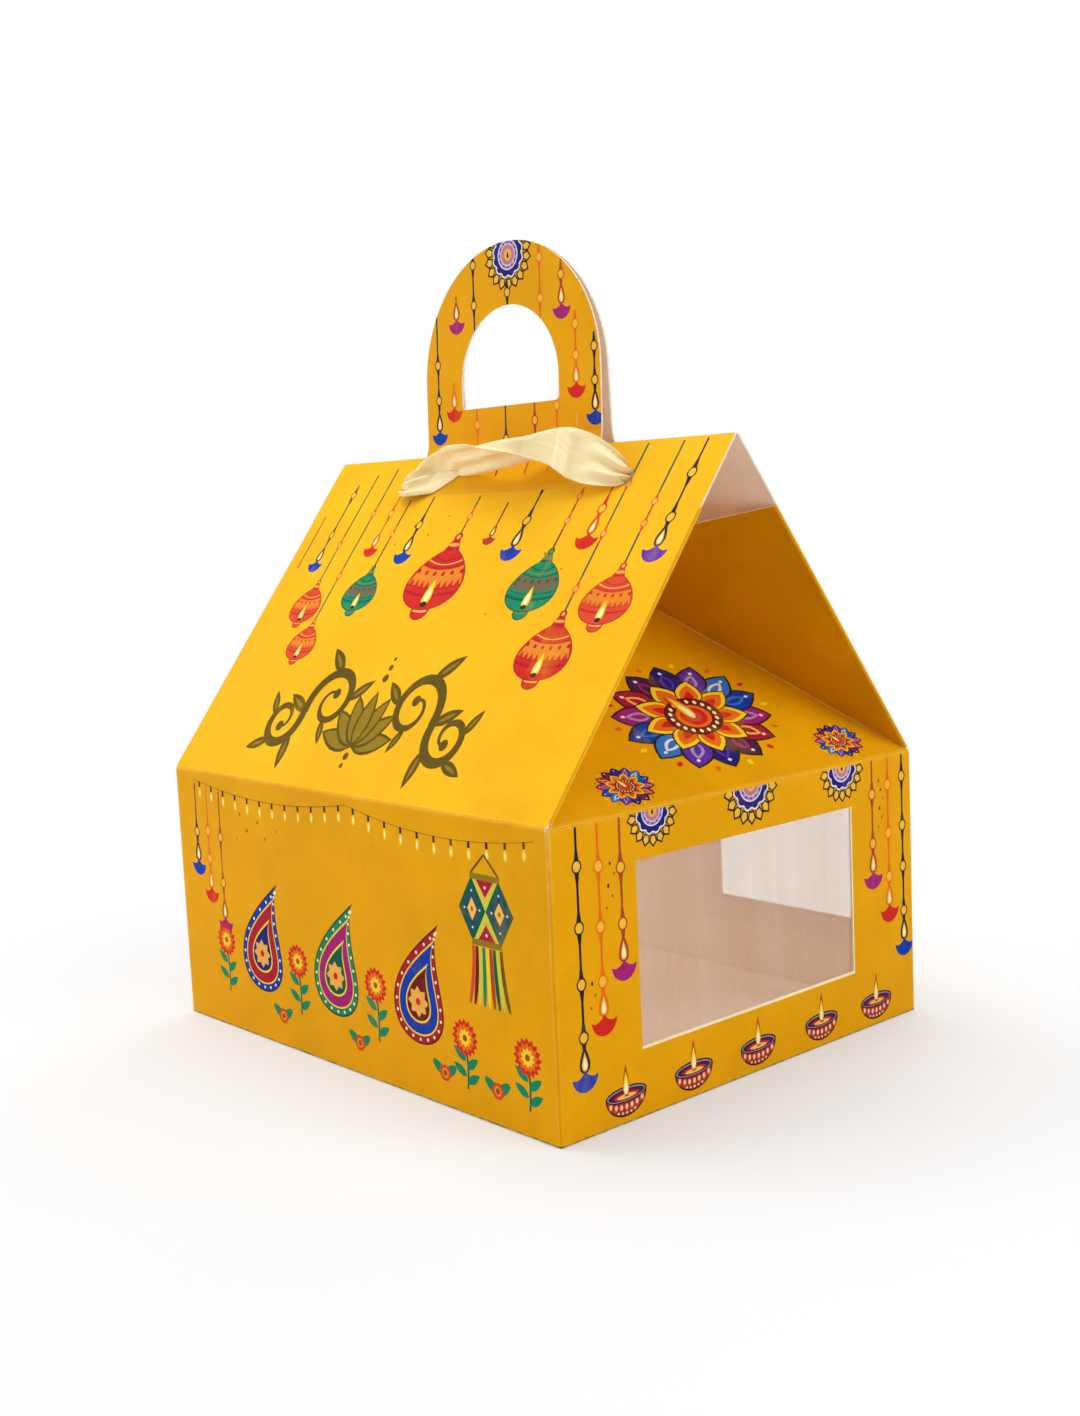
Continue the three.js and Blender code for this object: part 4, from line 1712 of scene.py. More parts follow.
    def base_flap(self, side: Side) -> bpy.types.Object:
        """Builds a base flap with the fold that brings it in under the wall.

        Args:
            side: The flap's side.

        Returns:
            The flap.
        """
        half, fold = side.half, self.base_fold * math.pi / 2
        length, taper = self.short_flap, self.short_taper
        if side.long:
            length, taper = self.long_flap, self.long_taper
        origin = side.turned(0, SIZES.board - side.reach, self.foot(side))
        right = [(half, 0.0), (half, fold), (half - taper, fold + length)]
        return Panel(
            name=f"{side.label}_base_board",
            lay=Lay(origin, side.turned(-1, 0, 0), -UP, (Bend(0.0, fold, math.pi / 2),)),
            outline=[(-half, 0.0), *right, (taper - half, fold + length), (-half, fold)],
            # The inner face takes the lighter, glowing bare board: painted light.
            finishes=[self.finishes.printed, self.finishes.floor, self.finishes.edge],
            folds=[((-half, 0.0), (half, 0.0))],
            rows=[*steps_between(0.0, fold, 5), fold],
            thickness=0.96 * SIZES.board,
            spacing=14.0,
        ).build()

    def seam(self) -> bpy.types.Object:
        """Builds the seam that closes the ring of walls, glued inside the back wall.

        Returns:
            The seam.
        """
        near = Side.BACK.half
        far = near - self.seam_width
        low, high = 1.8, SIZES.wall_height - 0.6
        outline = [(far, low + self.seam_taper), (near, low), (near, high), (far, high - self.seam_taper)]
        return Panel("seam_board", Side.BACK.wall_lay(SIZES.board), outline, self.finishes.board).build()


@dataclass
class Windows:
    """The clear films glued behind the windows."""

    finishes: Finishes
    margin: float = 7.0
    thickness: float = 0.2
    corner: float = 0.7

    def build(self) -> None:
        """Builds and settles the films."""
        for side in Side:
            for left, low, right, high in self.spans(side):
                m = self.margin
                rim = rectangle(left - m, low - m, right + m, high + m, 1.0)
                film = Panel(
                    name=f"{side.label}_film",
                    lay=side.wall_lay(SIZES.board),
                    outline=rim,
                    finishes=[self.finishes.film] * 3,
                    folds=closed(rim),
                    thickness=self.thickness,
                    bow=-0.3,
                ).build()
                settle(film, "carton", f"window_film_{side.label}")

    @staticmethod
    def spans(side: Side) -> list[tuple[float, float, float, float]]:
        """A wall's windows in its own frame: the left, lower, right and upper edge of each."""
        special = {Side.FRONT: [], Side.BACK: [(-64.0, 21.5, -9.5, 58.0)]}
        return special.get(side, [(-38.0, 16.0, 38.0, 58.0)])

    @classmethod
    def holes(cls, side: Side) -> list[Outline]:
        """The outlines of a wall's windows."""
        return [rectangle(*span, cls.corner) for span in cls.spans(side)]


@dataclass
class Roof:
    """The two roof slopes with the folds at their eaves."""

    finishes: Finishes
    notch_half: float = 34.3
    ridge_gap: float = 0.15
    hole_radius: float = 2.5
    foot_fold: float = 0.5
    side_step: float = 0.4

    def build(self) -> None:
        """Builds and settles the slopes, and builds the eave folds."""
        for side in (Side.FRONT, Side.BACK):
            settle(self.slope(side), f"{side.label}_slope", f"roof_{side.label}")
            FoldStrip.over_wall(side, "eave", 12).build(self.finishes, "carton", f"{side.label}_slope")

    def slope(self, side: Side) -> bpy.types.Object:
        """Builds a slope, notched for the handle, and punched for the ribbon on the front.

        Args:
            side: The slope's side.

        Returns:
            The slope.
        """
        low = SIZES.fold_reach(SIZES.lean)
        board = SIZES.board * math.cos(SIZES.lean)
        top = (SIZES.depth / 2 - board - self.ridge_gap) / math.sin(SIZES.lean)
        fold = SIZES.width / 2 - SIZES.board
        free = fold + self.side_step
        gusset = SIZES.gusset_height
        notch = SIZES.slope_length - SIZES.handle_foot - self.foot_fold
        right = [(fold, low), (fold, gusset), (free, gusset + self.side_step), (free, top)]
        right += [(self.notch_half, top), (self.notch_half, notch)]
        radius, punched = self.hole_radius, SIZES.hole_places if side is Side.FRONT else ()
        worn = [((-x, y), (x, y)) for x, y in ((fold, low), (self.notch_half, notch))]
        worn += [((x, low), (x, gusset)) for x in (fold, -fold)]
        return Panel(
            name=f"{side.label}_roof_board",
            lay=side.roof_lay(),
            outline=right + mirrored(right),
            finishes=self.finishes.board,
            holes=[ellipse(x, SIZES.hole_line, radius, radius, 26) for x in punched],
            shapes=list(self.slope_print()),
            # The slopes take the lighter gold: painted light.
            base=Ink.SUN,
            folds=worn,
            bow=0.3,
        ).build()

    @staticmethod
    def slope_print() -> Shapes:
        """The slopes' print: bead strings from the ridge with pendants and lanterns, and a flourish."""
        lamps = (
            (-62.2, 94.7, 66.7, (91.0, 77.3), Ink.INDIGO, Ink.BLUE, 1.0),
            (-39.4, 98.5, 71.5, (84.0,), Ink.CORAL, Ink.RED, 0.95),
            (-23.8, 89.2, 69.4, (79.8,), Ink.INDIGO, Ink.BLUE, 1.12),
            (8.4, 86.0, 74.3, (), Ink.MAROON, Ink.CRIMSON, 0.75),
            (19.2, 102.0, 70.3, (91.7, 80.0), Ink.INDIGO, Ink.BLUE, 1.2),
            (44.4, 91.0, 73.4, (82.7,), Ink.RED, Ink.RED, 1.2),
            (68.3, 102.0, 69.8, (92.1, 79.6), Ink.INDIGO, Ink.PURPLE, 1.2),
        )
        red = (Ink.CRIMSON, Ink.RED, Ink.PEACH, Ink.FLAME)
        coral = (Ink.RED, Ink.CORAL, Ink.PEACH, Ink.FLAME)
        green = (Ink.PINE, Ink.GREEN, Ink.OLIVE, Ink.UMBER)
        lanterns = (
            (-55.4, 97.9, 53.6, (73.6,), coral, 13.0),
            (-47.4, 99.5, 41.4, (84.0, 63.3), coral, 12.0),
            (-33.6, 88.4, 58.1, (77.0,), green, 13.5),
            (-4.2, 88.4, 62.6, (82.0,), red, 22.0),
            (34.2, 90.6, 60.6, (86.9, 79.6), green, 17.0),
            (60.9, 101.8, 57.2, (84.2, 78.0), coral, 15.5),
            (49.2, 101.8, 42.6, (89.7, 75.3, 59.8), red, 17.5),
        )
        yield from BeadString(-70.4, 84.0, 66.0, (), Ink.CLAY).shapes()
        for *string, size in lamps:
            yield from BeadString(*string, 0.6, size).shapes()
        for x, top, foot, beads, inks, width in lanterns:
            cord = Ink.MAROON if inks is green else Ink.PINE
            yield from BeadString(x, top, foot, beads, cord, None, 0.6, 0.8, Ink.CORAL).shapes()
            yield from stamped(Lantern(*inks, width), x, foot)
        yield from stamped(Flourish(), -3.5, 23.0, 1.1, 1.2)
        yield from specks(-30.0, 72.0, 20.0, 12.0, 4)
        yield from specks(22.0, 50.0, 22.0, 22.0, 5)


@dataclass
class Gables:
    """The gable flaps, the gusset webs behind the slopes, and their folds."""

    finishes: Finishes
    flap_setback: float = 0.15
    web_setback: float = 0.95

    def build(self) -> None:
        """Builds and settles the flaps and the webs, and builds their folds."""
        for side in (Side.LEFT, Side.RIGHT):
            settle(self.flap(side), f"{side.label}_gable", f"gable_flap_{side.label}")
            FoldStrip.over_wall(side, "gable", 10).build(self.finishes, "carton", f"{side.label}_gable")
        for slope in (Side.FRONT, Side.BACK):
            for way in (-1, 1):
                self.web(slope, way)

    def flap(self, side: Side) -> bpy.types.Object:
        """Builds a gable flap, the triangle that leans in over an end wall.

        Args:
            side: The flap's side.

        Returns:
            The flap.
        """
        slant, low = SIZES.crease_slant, SIZES.fold_reach(SIZES.flap_lean)
        half = SIZES.depth / 2 - self.flap_setback * math.hypot(1, slant)
        outline = [(low * slant - half, low), (half - low * slant, low), (0.0, half / slant)]
        return Panel(
            name=f"{side.label}_gable_board",
            lay=side.roof_lay(),
            outline=outline,
            finishes=self.finishes.board,
            shapes=list(self.flap_print(outline)),
            folds=closed(outline),
            bow=-0.3,
        ).build()

    @staticmethod
    def flap_print(outline: Outline) -> Shapes:
        """The gable flaps' print: a large petal rosette between two small ones, and pale bands on the
        diagonal creases that are partly worn board and partly a painted highlight.

        Args:
            outline: The flap's outline, its apex last.

        Yields:
            The shapes.
        """
        # Pale bands along the diagonal creases: partly wear, partly a painted highlight on each crease's
        # ridge.
        for corner in outline[:2]:
            yield Shape(band([corner, outline[2]], [2.2, 2.2]), Ink.HONEY)
        for radius, x, y in ((25.5, 1.0, 23.0), (8.4, -35.0, 6.9), (8.4, 41.0, 7.4)):
            yield from stamped(PetalRosette(radius), x, y)

    def web(self, slope: Side, way: int) -> None:
        """Builds a gusset web, folded in behind a slope, and the fold at the slope's edge.

        Args:
            slope: The slope's side.
            way: 1 for the slope's own right edge and -1 for its left one.
        """
        roof, board = slope.roof_lay(), SIZES.board
        end = "right" if (way > 0) == (slope is Side.FRONT) else "left"
        name = f"{slope.label}_{end}_web"
        delta, slant, top = SIZES.web_angle, SIZES.crease_slant, SIZES.gusset_height
        hinge = roof.origin + roof.right * way * (SIZES.width / 2 - board) - roof.out * board
        inwards = roof.right * -way * math.cos(delta) - roof.out * math.sin(delta)
        printed = roof.right * way * math.sin(delta) - roof.out * math.cos(delta)
        back = self.web_setback * math.hypot(1, slant)
        foot, tip = (0.0, back / slant), (way * (top * slant - back), top)
        web = Panel(
            name=f"{name}_board",
            lay=Lay(hinge + printed * board, inwards * way, roof.up),
            outline=[foot, tip, (0.0, top)],
            finishes=self.finishes.board,
            folds=[((0.0, 0.0), (0.0, top)), (foot, tip)],
            # The webs take the darker gold: painted shade under the slope.
            base=Ink.SHADED_GOLD,
        ).build()
        settle(web, name, f"gusset_web_{slope.label}_{end}")
        bend = Bend(0.0, board * (math.pi - delta), math.pi - delta)
        lay = Lay(hinge + roof.out * board, roof.up * -way, roof.right * way, (bend,))
        left, right = sorted((-way * back / slant, -way * top))
        strip = FoldStrip(f"{name}_fold", lay, left, right, columns=8, rows=12, thickness=0.85 * board)
        strip.build(self.finishes, f"{slope.label}_slope", name, (hinge - roof.out * board) * MM)


@dataclass
class Handle:
    """The arched handle's two plies with the folds at their feet.

    Places on a ply's side view are pairs: depth, negative before the middle, and height.
    """

    finishes: Finishes
    half: float = 34.0
    rise: float = 52.5
    spread: float = 3.0
    tip_gap: float = 0.15
    bend_rise: float = 1.0
    bend_length: float = 5.0
    hole_half: float = 19.0
    hole_rise: float = 11.0
    hole_height: float = 25.5
    hole_corner: float = 1.4
    hole_ease: float = 2.6
    fold_half: float = 0.5

    def build(self) -> None:
        """Builds and settles both plies, and builds their folds."""
        for side in (Side.FRONT, Side.BACK):
            settle(self.ply(side), f"{side.label}_handle", f"handle_{side.label}")
            self.foot_fold(side)

    @property
    def ridge(self) -> float:
        """The height of the ridge."""
        return SIZES.wall_height + SIZES.roof_rise

    @property
    def crease(self) -> Point:
        """The crease at the foot."""
        foot, lean = SIZES.handle_foot, SIZES.lean
        return (-foot * math.sin(lean), self.ridge - foot * math.cos(lean))

    @property
    def knee(self) -> Point:
        """The bend above the ridge."""
        return (-self.spread / 2 - SIZES.board, self.ridge + self.bend_rise)

    @property
    def leans(self) -> Point:
        """The lean from upright of a ply below its bend and above it."""
        ways = ((self.crease, self.knee), (self.knee, (-self.tip_gap - SIZES.board, self.ridge + self.rise)))
        return tuple(math.atan2(high[0] - low[0], high[1] - low[1]) for low, high in ways)

    def developed(self, height: float) -> float:
        """The way along a ply from its crease to a height above its bend.

        Args:
            height: The height.

        Returns:
            The way.
        """
        below, above = self.leans
        turn = below - above
        rounding = self.bend_length - 2 * self.bend_length / turn * math.tan(turn / 2)
        return math.dist(self.crease, self.knee) + rounding + (height - self.knee[1]) / math.cos(above)

    def ply(self, side: Side) -> bpy.types.Object:
        """Builds a ply: an arch with a finger hole, bent upright above the ridge.

        Args:
            side: The ply's side.

        Returns:
            The ply.
        """
        below, above = self.leans
        start = math.dist(self.crease, self.knee) - self.bend_length / 2
        end = start + self.bend_length
        up = side.turned(0, math.sin(below), math.cos(below))
        bends = (Bend(start, self.bend_length, above - below),)
        floor = self.developed(self.ridge + self.hole_rise)
        ease = self.hole_ease if side is Side.BACK else 0.0
        crown = floor + self.hole_height + ease
        return Panel(
            name=f"{side.label}_handle_board",
            lay=Lay(side.turned(0, *self.crease), side.turned(1, 0, 0), up, bends),
            outline=archway(self.half, self.fold_half, self.developed(self.ridge + self.rise), 0.01),
            finishes=self.finishes.board,
            holes=[archway(self.hole_half + ease, floor - ease / 2, crown, self.hole_corner)],
            shapes=list(self.ply_print()),
            folds=[((-self.half, self.fold_half), (self.half, self.fold_half))],
            rows=[start, *steps_between(start, end, 8), end],
            spacing=5.0,
        ).build()

    def ply_print(self) -> Shapes:
        """The plies' print: a lace rosette at the top, and bead strings with and without pendants."""
        up = self.developed(self.ridge + self.bend_rise) - self.bend_rise
        yield from stamped(LaceRosette(9.2), 0.9, up + 49.0)
        strings = (
            (-28.9, 41.0, 4.4, (23.6, 14.2), Ink.INDIGO, Ink.BLUE),
            (-20.4, 41.0, 33.2, (), Ink.CLAY, Ink.MAGENTA),
            (-22.4, 18.6, 10.2, (), Ink.ORANGE, Ink.RED),
            (20.7, 46.0, 32.8, (41.6,), Ink.CLAY, Ink.MAGENTA),
            (25.4, 31.0, 13.0, (29.0, 21.4), Ink.ORANGE, Ink.RED),
            (32.0, 26.0, 6.0, (23.0, 14.8), Ink.INDIGO, Ink.BLUE),
            (-13.1, 52.0, 30.0, (48.1, 37.8), Ink.INDIGO, None),
            (0.3, 40.8, 34.0, (39.6,), Ink.BLACK, None),
            (12.8, 52.0, 30.0, (46.7, 36.7), Ink.ORANGE, None),
            (-13.1, 11.2, -8.0, (6.8,), Ink.ORANGE, None),
            (-1.6, 11.2, -8.0, (2.4,), Ink.BLACK, None),
            (9.7, 11.2, -8.0, (6.5,), Ink.CLAY, None),
            (18.0, 11.2, -8.0, (9.6, -1.0), Ink.ORANGE, None),
            (25.3, 7.4, -6.0, (), Ink.PEACH, None),
        )
        for x, top, foot, beads, ink, pendant in strings:
            places = tuple(up + bead for bead in beads)
            size = 1.02 if pendant else 1.0
            yield from BeadString(x, up + top, up + foot, places, ink, pendant, size=size).shapes()

    def foot_fold(self, side: Side) -> None:
        """Builds the fold between a slope and its handle ply.

        Args:
            side: The fold's side.
        """
        slope = side.roof_lay()
        bend = Bend(0.0, 2 * self.fold_half, self.leans[0] - SIZES.lean)
        origin = slope.origin + slope.up * (SIZES.slope_length - SIZES.handle_foot - self.fold_half)
        lay = Lay(origin, slope.right, slope.up, (bend,))
        strip = FoldStrip(f"{side.label}_handle_fold", lay, -self.half, self.half, columns=6)
        strip.build(self.finishes, f"{side.label}_slope", f"{side.label}_handle")


@dataclass
class Ribbon:
    """The satin ribbon, gathered into its holes and rolled over once on its way, and its knots."""

    finishes: Finishes
    width: float = 12.7
    gathered: float = 3.6
    thickness: float = 0.24
    pleats: float = 2.5
    rest_bend: float = 2.4
    roll_bend: float = 3.6
    fall_angle: float = 200.0
    clearance: float = 0.25
    handle_half: float = 34.5
    handle_lean: float = 0.163
    crease_drop: float = 1.9
    across: int = 48
    stations: int = 170

    def build(self) -> None:
        """Builds and settles the ribbon and its knots."""
        ribbon, length = self.strip()
        settle(ribbon, "front_slope", "ribbon")
        axis = self.slope.out * 0.8 - self.slope.up * 0.6
        anchor = self.slope.point(0, SIZES.hole_line - self.crease_drop)
        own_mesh(ribbon)
        knots = []
        for word, x in zip(("left", "right"), SIZES.hole_places):
            knots.append(self.knot(word, x))
            settle(knots[-1], "front_slope", f"ribbon_knot_{word}")

    @property
    def slope(self) -> Lay:
        """The frame of the front slope."""
        return Side.FRONT.roof_lay()

    def stops(self) -> list[tuple[float, ...]]:
        """The ribbon's way from behind the left hole to behind the right one.

        Returns:
            The stops. Each has the crest's place along the ridge, up from the holes and off the slope,
            the share of the cloth's width that isn't drawn in, the shares of it that lie on the slope
            and that have rolled to the front, and the angle in degrees at which the rest rises.
        """
        drawn, edge = self.gathered / self.width, self.gathered / 2
        left, right = SIZES.hole_places
        return [
            (left, edge, -0.8, drawn, 1.0, 0.0, 80),
            (left, edge, 0.6, drawn, 1.0, 0.0, 80),
            (-36.4, 3.6, 1.8, 0.55, 0.95, 0.0, 80),
            (-31.5, 5.6, 4.2, 0.85, 0.75, 0.0, 80),
            (-24.8, 6.2, 6.6, 1.0, 0.5, 0.0, 80),
            (-19.0, 5.9, 8.6, 0.92, 0.25, 0.03, 79),
            (-13.9, 5.4, 10.5, 0.85, 0.0, 0.06, 78),
            (-3.5, 3.9, 12.2, 0.84, 0.0, 0.13, 81),
            (4.3, 3.0, 12.8, 0.9, 0.0, 0.22, 85),
            (13.5, 4.2, 12.0, 0.97, 0.0, 0.34, 86),
            (19.3, 7.0, 10.2, 1.0, 0.0, 0.52, 84),
            (24.5, 8.9, 9.2, 1.0, 0.0, 0.68, 82),
            (29.7, 9.4, 8.5, 1.0, 0.0, 0.84, 80),
            (35.6, 8.5, 7.3, 1.0, 0.0, 0.97, 80),
            (41.2, 6.6, 5.6, 0.86, 0.0, 1.0, 80),
            (46.0, 4.0, 3.4, 0.6, 0.0, 1.0, 80),
            (48.0, 2.4, 1.9, 0.36, 0.0, 1.0, 80),
            (right, edge, 0.6, drawn, 0.0, 1.0, 80),
            (right, edge, -0.8, drawn, 0.0, 1.0, 80),
        ]

    @staticmethod
    def smooth(values: list[float], place: float) -> float:
        """A value on the smooth curve through a list of values.

        Args:
            values: The values.
            place: The place between them, counted from 0.

        Returns:
            The value there.
        """
        last = len(values) - 1
        row = min(int(place), last - 1)
        t = place - row
        p = [values[min(max(row + k, 0), last)] for k in (-1, 0, 1, 2)]
        first, second = (p[2] - p[0]) / 2, (p[3] - p[1]) / 2
        rest = p[2] - p[1]
        return p[1] + t * (first + t * (3 * rest - 2 * first - second + t * (first + second - 2 * rest)))

    def pleat_height(self, width: float) -> float:
        """How high the pleats stand where the cloth is drawn in to a width.

        Args:
            width: The width.

        Returns:
            The height, found by halving.
        """
        low, high, steps, turns = 0.0, 3.0, 60, 2 * math.pi * self.pleats
        for _ in range(24):
            middle = (low + high) / 2
            slope = turns * middle / width
            length = sum(math.hypot(1, slope * math.cos(turns * k / steps)) for k in range(steps))
            low, high = (middle, high) if length / steps * width < self.width else (low, middle)
        return low

    def section(self, place: float) -> tuple[list[Vector], float]:
        """The cloth's line across at a place on its way, from its resting edge over the crest.

        Args:
            place: The place, counted in stops from 0.

        Returns:
            The line's points, and the width that the cloth is drawn in to.
        """
        columns = [self.smooth(list(column), place) for column in zip(*self.stops())]
        x, up, off, full, rests, rolled, lean = columns
        width = min(max(full * self.width, self.gathered), self.width)
        rising, falling = math.radians(lean), math.radians(self.fall_angle)
        slope, out = self.slope, self.slope.out
        crest = slope.origin + slope.right * x + slope.up * (SIZES.hole_line + up) + out * off
        bend = min(rests, 1.0) * (width + self.rest_bend) - self.rest_bend / 2
        roll = width + self.roll_bend / 2 - rolled * (width + self.roll_bend)
        step = width / self.across
        line, kept = [Vector((0, 0, 0))], Vector((0, 0, 0))
        for place_across in range(self.across):
            reached = (place_across + 0.5) * step
            rise = self.eased((reached - bend) / self.rest_bend + 0.5)
            fall = self.eased((reached - roll) / self.roll_bend + 0.5)
            angle = rising * rise + (falling - rising) * fall
            line.append(line[-1] + (slope.up * math.cos(angle) + out * math.sin(angle)) * step)
            if reached < roll:
                kept = line[-1]
        return [crest + point - kept for point in line], width

    @staticmethod
    def eased(share: float) -> float:
        """A share from 0 to 1 with a soft start and end."""
        share = min(max(share, 0.0), 1.0)
        return share * share * (3 - 2 * share)

    def lifted(self, point: Vector) -> Vector:
        """Keeps a point of the cloth in front of the slope and of the handle's foot.

        Args:
            point: The point.

        Returns:
            Its place, moved out if need be.
        """
        slope = self.slope
        way = point - slope.origin
        rise = way.dot(slope.up) - SIZES.hole_line + self.crease_drop
        least = self.clearance
        if abs(way.dot(slope.right)) < self.handle_half:
            least += self.handle_lean * max(rise, 0.0)
        return point + slope.out * max(least - way.dot(slope.out), 0.0)

    def strip(self) -> tuple[bpy.types.Object, float]:
        """Builds the ribbon.

        Returns:
            The ribbon, and its length in millimetres.
        """
        last, half = len(self.stops()) - 1, self.across // 2
        sections = [self.section(last * station / self.stations) for station in range(self.stations + 1)]
        lines = [line for line, _ in sections]
        across = [self.width * (step / self.across - 0.5) for step in range(self.across + 1)]
        places, spots, length = [], [], 0.0
        for station, (line, width) in enumerate(sections):
            before, after = lines[max(station - 1, 0)], lines[min(station + 1, self.stations)]
            length += (line[half] - before[half]).length
            pleat = self.pleat_height(width)
            outside = 1 <= last * station / self.stations <= last - 1
            rows = ([], [])
            for step in range(self.across + 1):
                along = after[step] - before[step]
                sideways = line[min(step + 1, self.across)] - line[max(step - 1, 0)]
                outward = along.cross(sideways).normalized()
                share = 2 * step / self.across - 1
                middle = line[step] + outward * (pleat * math.sin(math.pi * self.pleats * (share + 1)))
                middle = self.lifted(middle) if outside else middle
                for row, face in zip(rows, (1, -1)):
                    row.append((middle + outward * face * self.thickness / 2) * MM)
            places += rows[0] + rows[1][::-1]
            spots += [(x, length) for x in across + across[::-1]]
        return self.tube("satin_ribbon", places, spots, 2 * (self.across + 1)), length

    def tube(
        self, name: str, places: list[Vector], spots: list[Point], ring: int, joined: bool = False
    ) -> bpy.types.Object:
        """Makes a closed skin over rings of points, in satin.

        Args:
            name: The object's name.
            places: The points, ring by ring.
            spots: Each point's millimetres across and along the cloth.
            ring: Points in a ring.
            joined: Whether the last ring joins the first one. If not, each end is closed.

        Returns:
            The object.
        """
        rings = len(places) // ring
        faces = []
        for row in range(rings if joined else rings - 1):
            here, after = row * ring, (row + 1) % rings * ring
            for step in range(ring):
                side = (step + 1) % ring
                faces.append((here + step, here + side, after + side, after + step))
        for step in range(0 if joined else ring // 2 - 1):
            end, low, high = (rings - 1) * ring, step, ring - 1 - step
            faces.append((low, high, high - 1, low + 1))
            faces.append((end + low, end + low + 1, end + high - 1, end + high))
        mesh = bpy.data.meshes.new(name)
        mesh.from_pydata(places, [], faces)
        weave = mesh.uv_layers.new(name="Weave")
        for loop in mesh.loops:
            weave.data[loop.index].uv = spots[loop.vertex_index]
        mesh.materials.append(self.finishes.satin)
        mesh.update()
        mesh.shade_smooth()
        return placed(name, mesh)

    def knot(self, word: str, x: float) -> bpy.types.Object:
        """Builds the knot behind one of the ribbon's holes.

        Args:
            word: The knot's side, for its name.
            x: Where its hole is.

        Returns:
            The knot.
        """
        steps, ring, reach, rise, depth, half_width, half_height = 96, 14, 0.82, 1.2, 3.1, 1.15, 0.62
        slope, out = self.slope, self.slope.out
        centre = slope.origin + slope.right * x + slope.up * SIZES.hole_line - out * (SIZES.board + depth)
        line = []
        for step in range(steps):
            t = 2 * math.pi * step / steps
            a = reach * (math.sin(t) + 2 * math.sin(2 * t))
            b = reach * (math.cos(t) - 2 * math.cos(2 * t))
            line.append(centre + slope.right * a + slope.up * b - out * rise * math.sin(3 * t))
        places, spots = [], []
        for step, middle in enumerate(line):
            along = (line[(step + 1) % steps] - line[step - 1]).normalized()
            across = along.cross(out).normalized()
            upward = across.cross(along)
            for k in range(ring):
                angle = 2 * math.pi * k / ring
                pleat = 1 + 0.12 * math.cos(5 * angle)
                sideways = across * half_width * pleat * math.cos(angle)
                places.append((middle + sideways + upward * half_height * pleat * math.sin(angle)) * MM)
                spots.append((self.width * k / ring, 0.3 * step))
        return self.tube(f"{word}_satin_knot", places, spots, ring, joined=True)


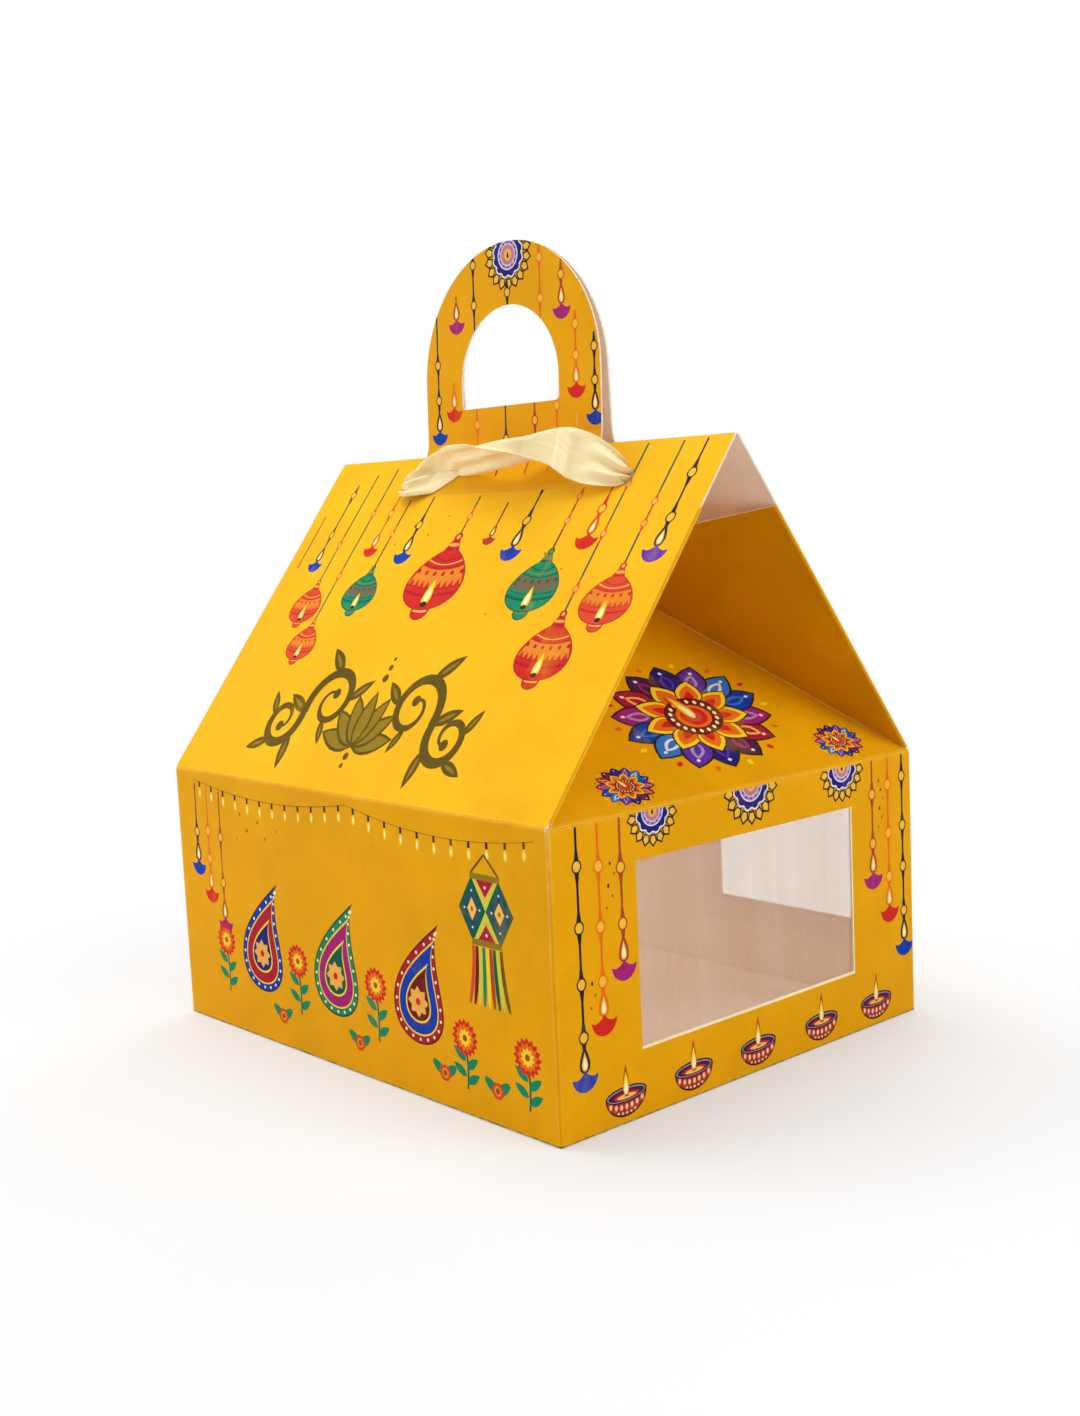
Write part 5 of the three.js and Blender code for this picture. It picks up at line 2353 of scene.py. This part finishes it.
@dataclass
class Studio:
    """The camera, the pale floor and the soft light."""

    azimuth: float = 48.197
    elevation: float = 6.971
    distance: float = 438.42
    target: tuple[float, float, float] = (4.595, 0.0, 82.922)
    roll: float = -2.625
    focal_pixels: float = 1663.867
    picture_height: float = 1416.0
    sensor: float = 36.0
    lamp_distance: float = 1.3
    lamp_size: float = 1.0
    lamp_target: tuple[float, float, float] = (0, 0, 0.08)
    floor_half: float = 6.0
    floor_height: float = -0.0002

    def build(self) -> None:
        """Builds the camera, the floor, the world and the lamps."""
        self.camera()
        self.floor()
        self.world()
        for name, azimuth, elevation, power in (
            ("front_light", -50, 18, 8.8),
            ("top_light", 25, 66, 5.4),
            ("right_light", 95, 38, 6.8),
            ("side_light", 132, 24, 4.0),
            ("left_light", 270, 68, 9.8),
            ("back_light", 200, 28, 6.0),
        ):
            self.lamp(name, self.towards(azimuth, elevation), power)
        bpy.context.scene.view_settings.view_transform = "Standard"

    @staticmethod
    def towards(azimuth: float, elevation: float) -> Vector:
        """The way from the carton at angles in degrees, round from the front and up."""
        a, e = math.radians(azimuth), math.radians(elevation)
        return Vector((math.sin(a) * math.cos(e), -math.cos(a) * math.cos(e), math.sin(e)))

    def camera(self) -> None:
        """Sets the camera at the photograph's viewing angle."""
        r = math.radians(self.roll)
        back = self.towards(self.azimuth, self.elevation)
        right = (-back).cross(UP).normalized()
        up = back.cross(right)
        level, tall = right * math.cos(r) + up * math.sin(r), up * math.cos(r) - right * math.sin(r)
        data = bpy.data.cameras.new("photo_camera")
        data.sensor_width = self.sensor
        data.lens = self.focal_pixels * self.sensor / self.picture_height
        data.clip_start = 0.01
        made = placed("photo_camera", data)
        made.matrix_world = Matrix((level, tall, back)).transposed().to_4x4()
        made.location = (Vector(self.target) + back * self.distance) * MM
        bpy.context.scene.camera = made

    def lamp(self, name: str, way: Vector, power: float) -> None:
        """Adds a soft square lamp that faces the carton.

        Args:
            name: Its name.
            way: The way to it from the carton.
            power: Its power in watts.
        """
        data = bpy.data.lights.new(name, "AREA")
        data.size, data.energy = self.lamp_size, power
        made = placed(name, data)
        made.location = Vector(self.lamp_target) + way * self.lamp_distance
        made.rotation_mode = "QUATERNION"
        made.rotation_quaternion = way.to_track_quat("Z", "Y")

    @staticmethod
    def seen_directly(tree: ShaderTree) -> Socket:
        """Gives 1 for rays from the camera, mirrors and glass."""
        path = tree.node("LightPath").outputs
        mirrored_too = tree.maths("MAXIMUM", path["Is Camera Ray"], path["Is Glossy Ray"])
        return tree.maths("MAXIMUM", mirrored_too, path["Is Transmission Ray"])

    def floor(self) -> None:
        """Lays a wide pale floor that keeps the carton's shadow."""
        mesh = bpy.data.meshes.new("floor")
        corners = rectangle(-self.floor_half, -self.floor_half, self.floor_half, self.floor_half)
        mesh.from_pydata([(x, y, self.floor_height) for x, y in corners], [], [(0, 1, 2, 3)])
        tree = ShaderTree(bpy.data.materials.new("pale_floor"))
        tree.set("Base Color", (0.8, 0.8, 0.8, 1))
        tree.set("Roughness", 0.9)
        away = tree.node("VectorMath", {0: tree.places}, operation="LENGTH").outputs["Value"]
        fade = tree.between(away, 0.08, 0.28, 0.3, 1.0, interpolation_type="SMOOTHSTEP")
        share = tree.maths("MULTIPLY", self.seen_directly(tree), fade)
        glow = tree.node("Emission", {"Strength": 1.0}).outputs[0]
        mixed = tree.node("MixShader", {0: share, 1: tree.shader.outputs[0], 2: glow}).outputs[0]
        tree.put(mixed, tree.tree.nodes["Material Output"].inputs["Surface"])
        mesh.materials.append(tree.made)
        placed("floor", mesh)

    def world(self) -> None:
        """Sets an even world that is white where it is seen."""
        tree = ShaderTree(bpy.data.worlds.new("studio"))
        tree.set("Color", (1, 1, 1, 1))
        tree.set("Strength", tree.between(self.seen_directly(tree), 0.0, 1.0, 0.02, 1.0))
        bpy.context.scene.world = tree.made


def main() -> None:
    """Builds the carton's sub-assemblies in order, then the studio round it."""
    logging.basicConfig(level=logging.INFO, format="%(name)s: %(message)s")
    finishes = Finishes.made()
    for group in (Walls, Windows, Roof, Gables, Handle, Ribbon):
        group(finishes).build()
    Studio().build()


if __name__ == "__main__":
    main()
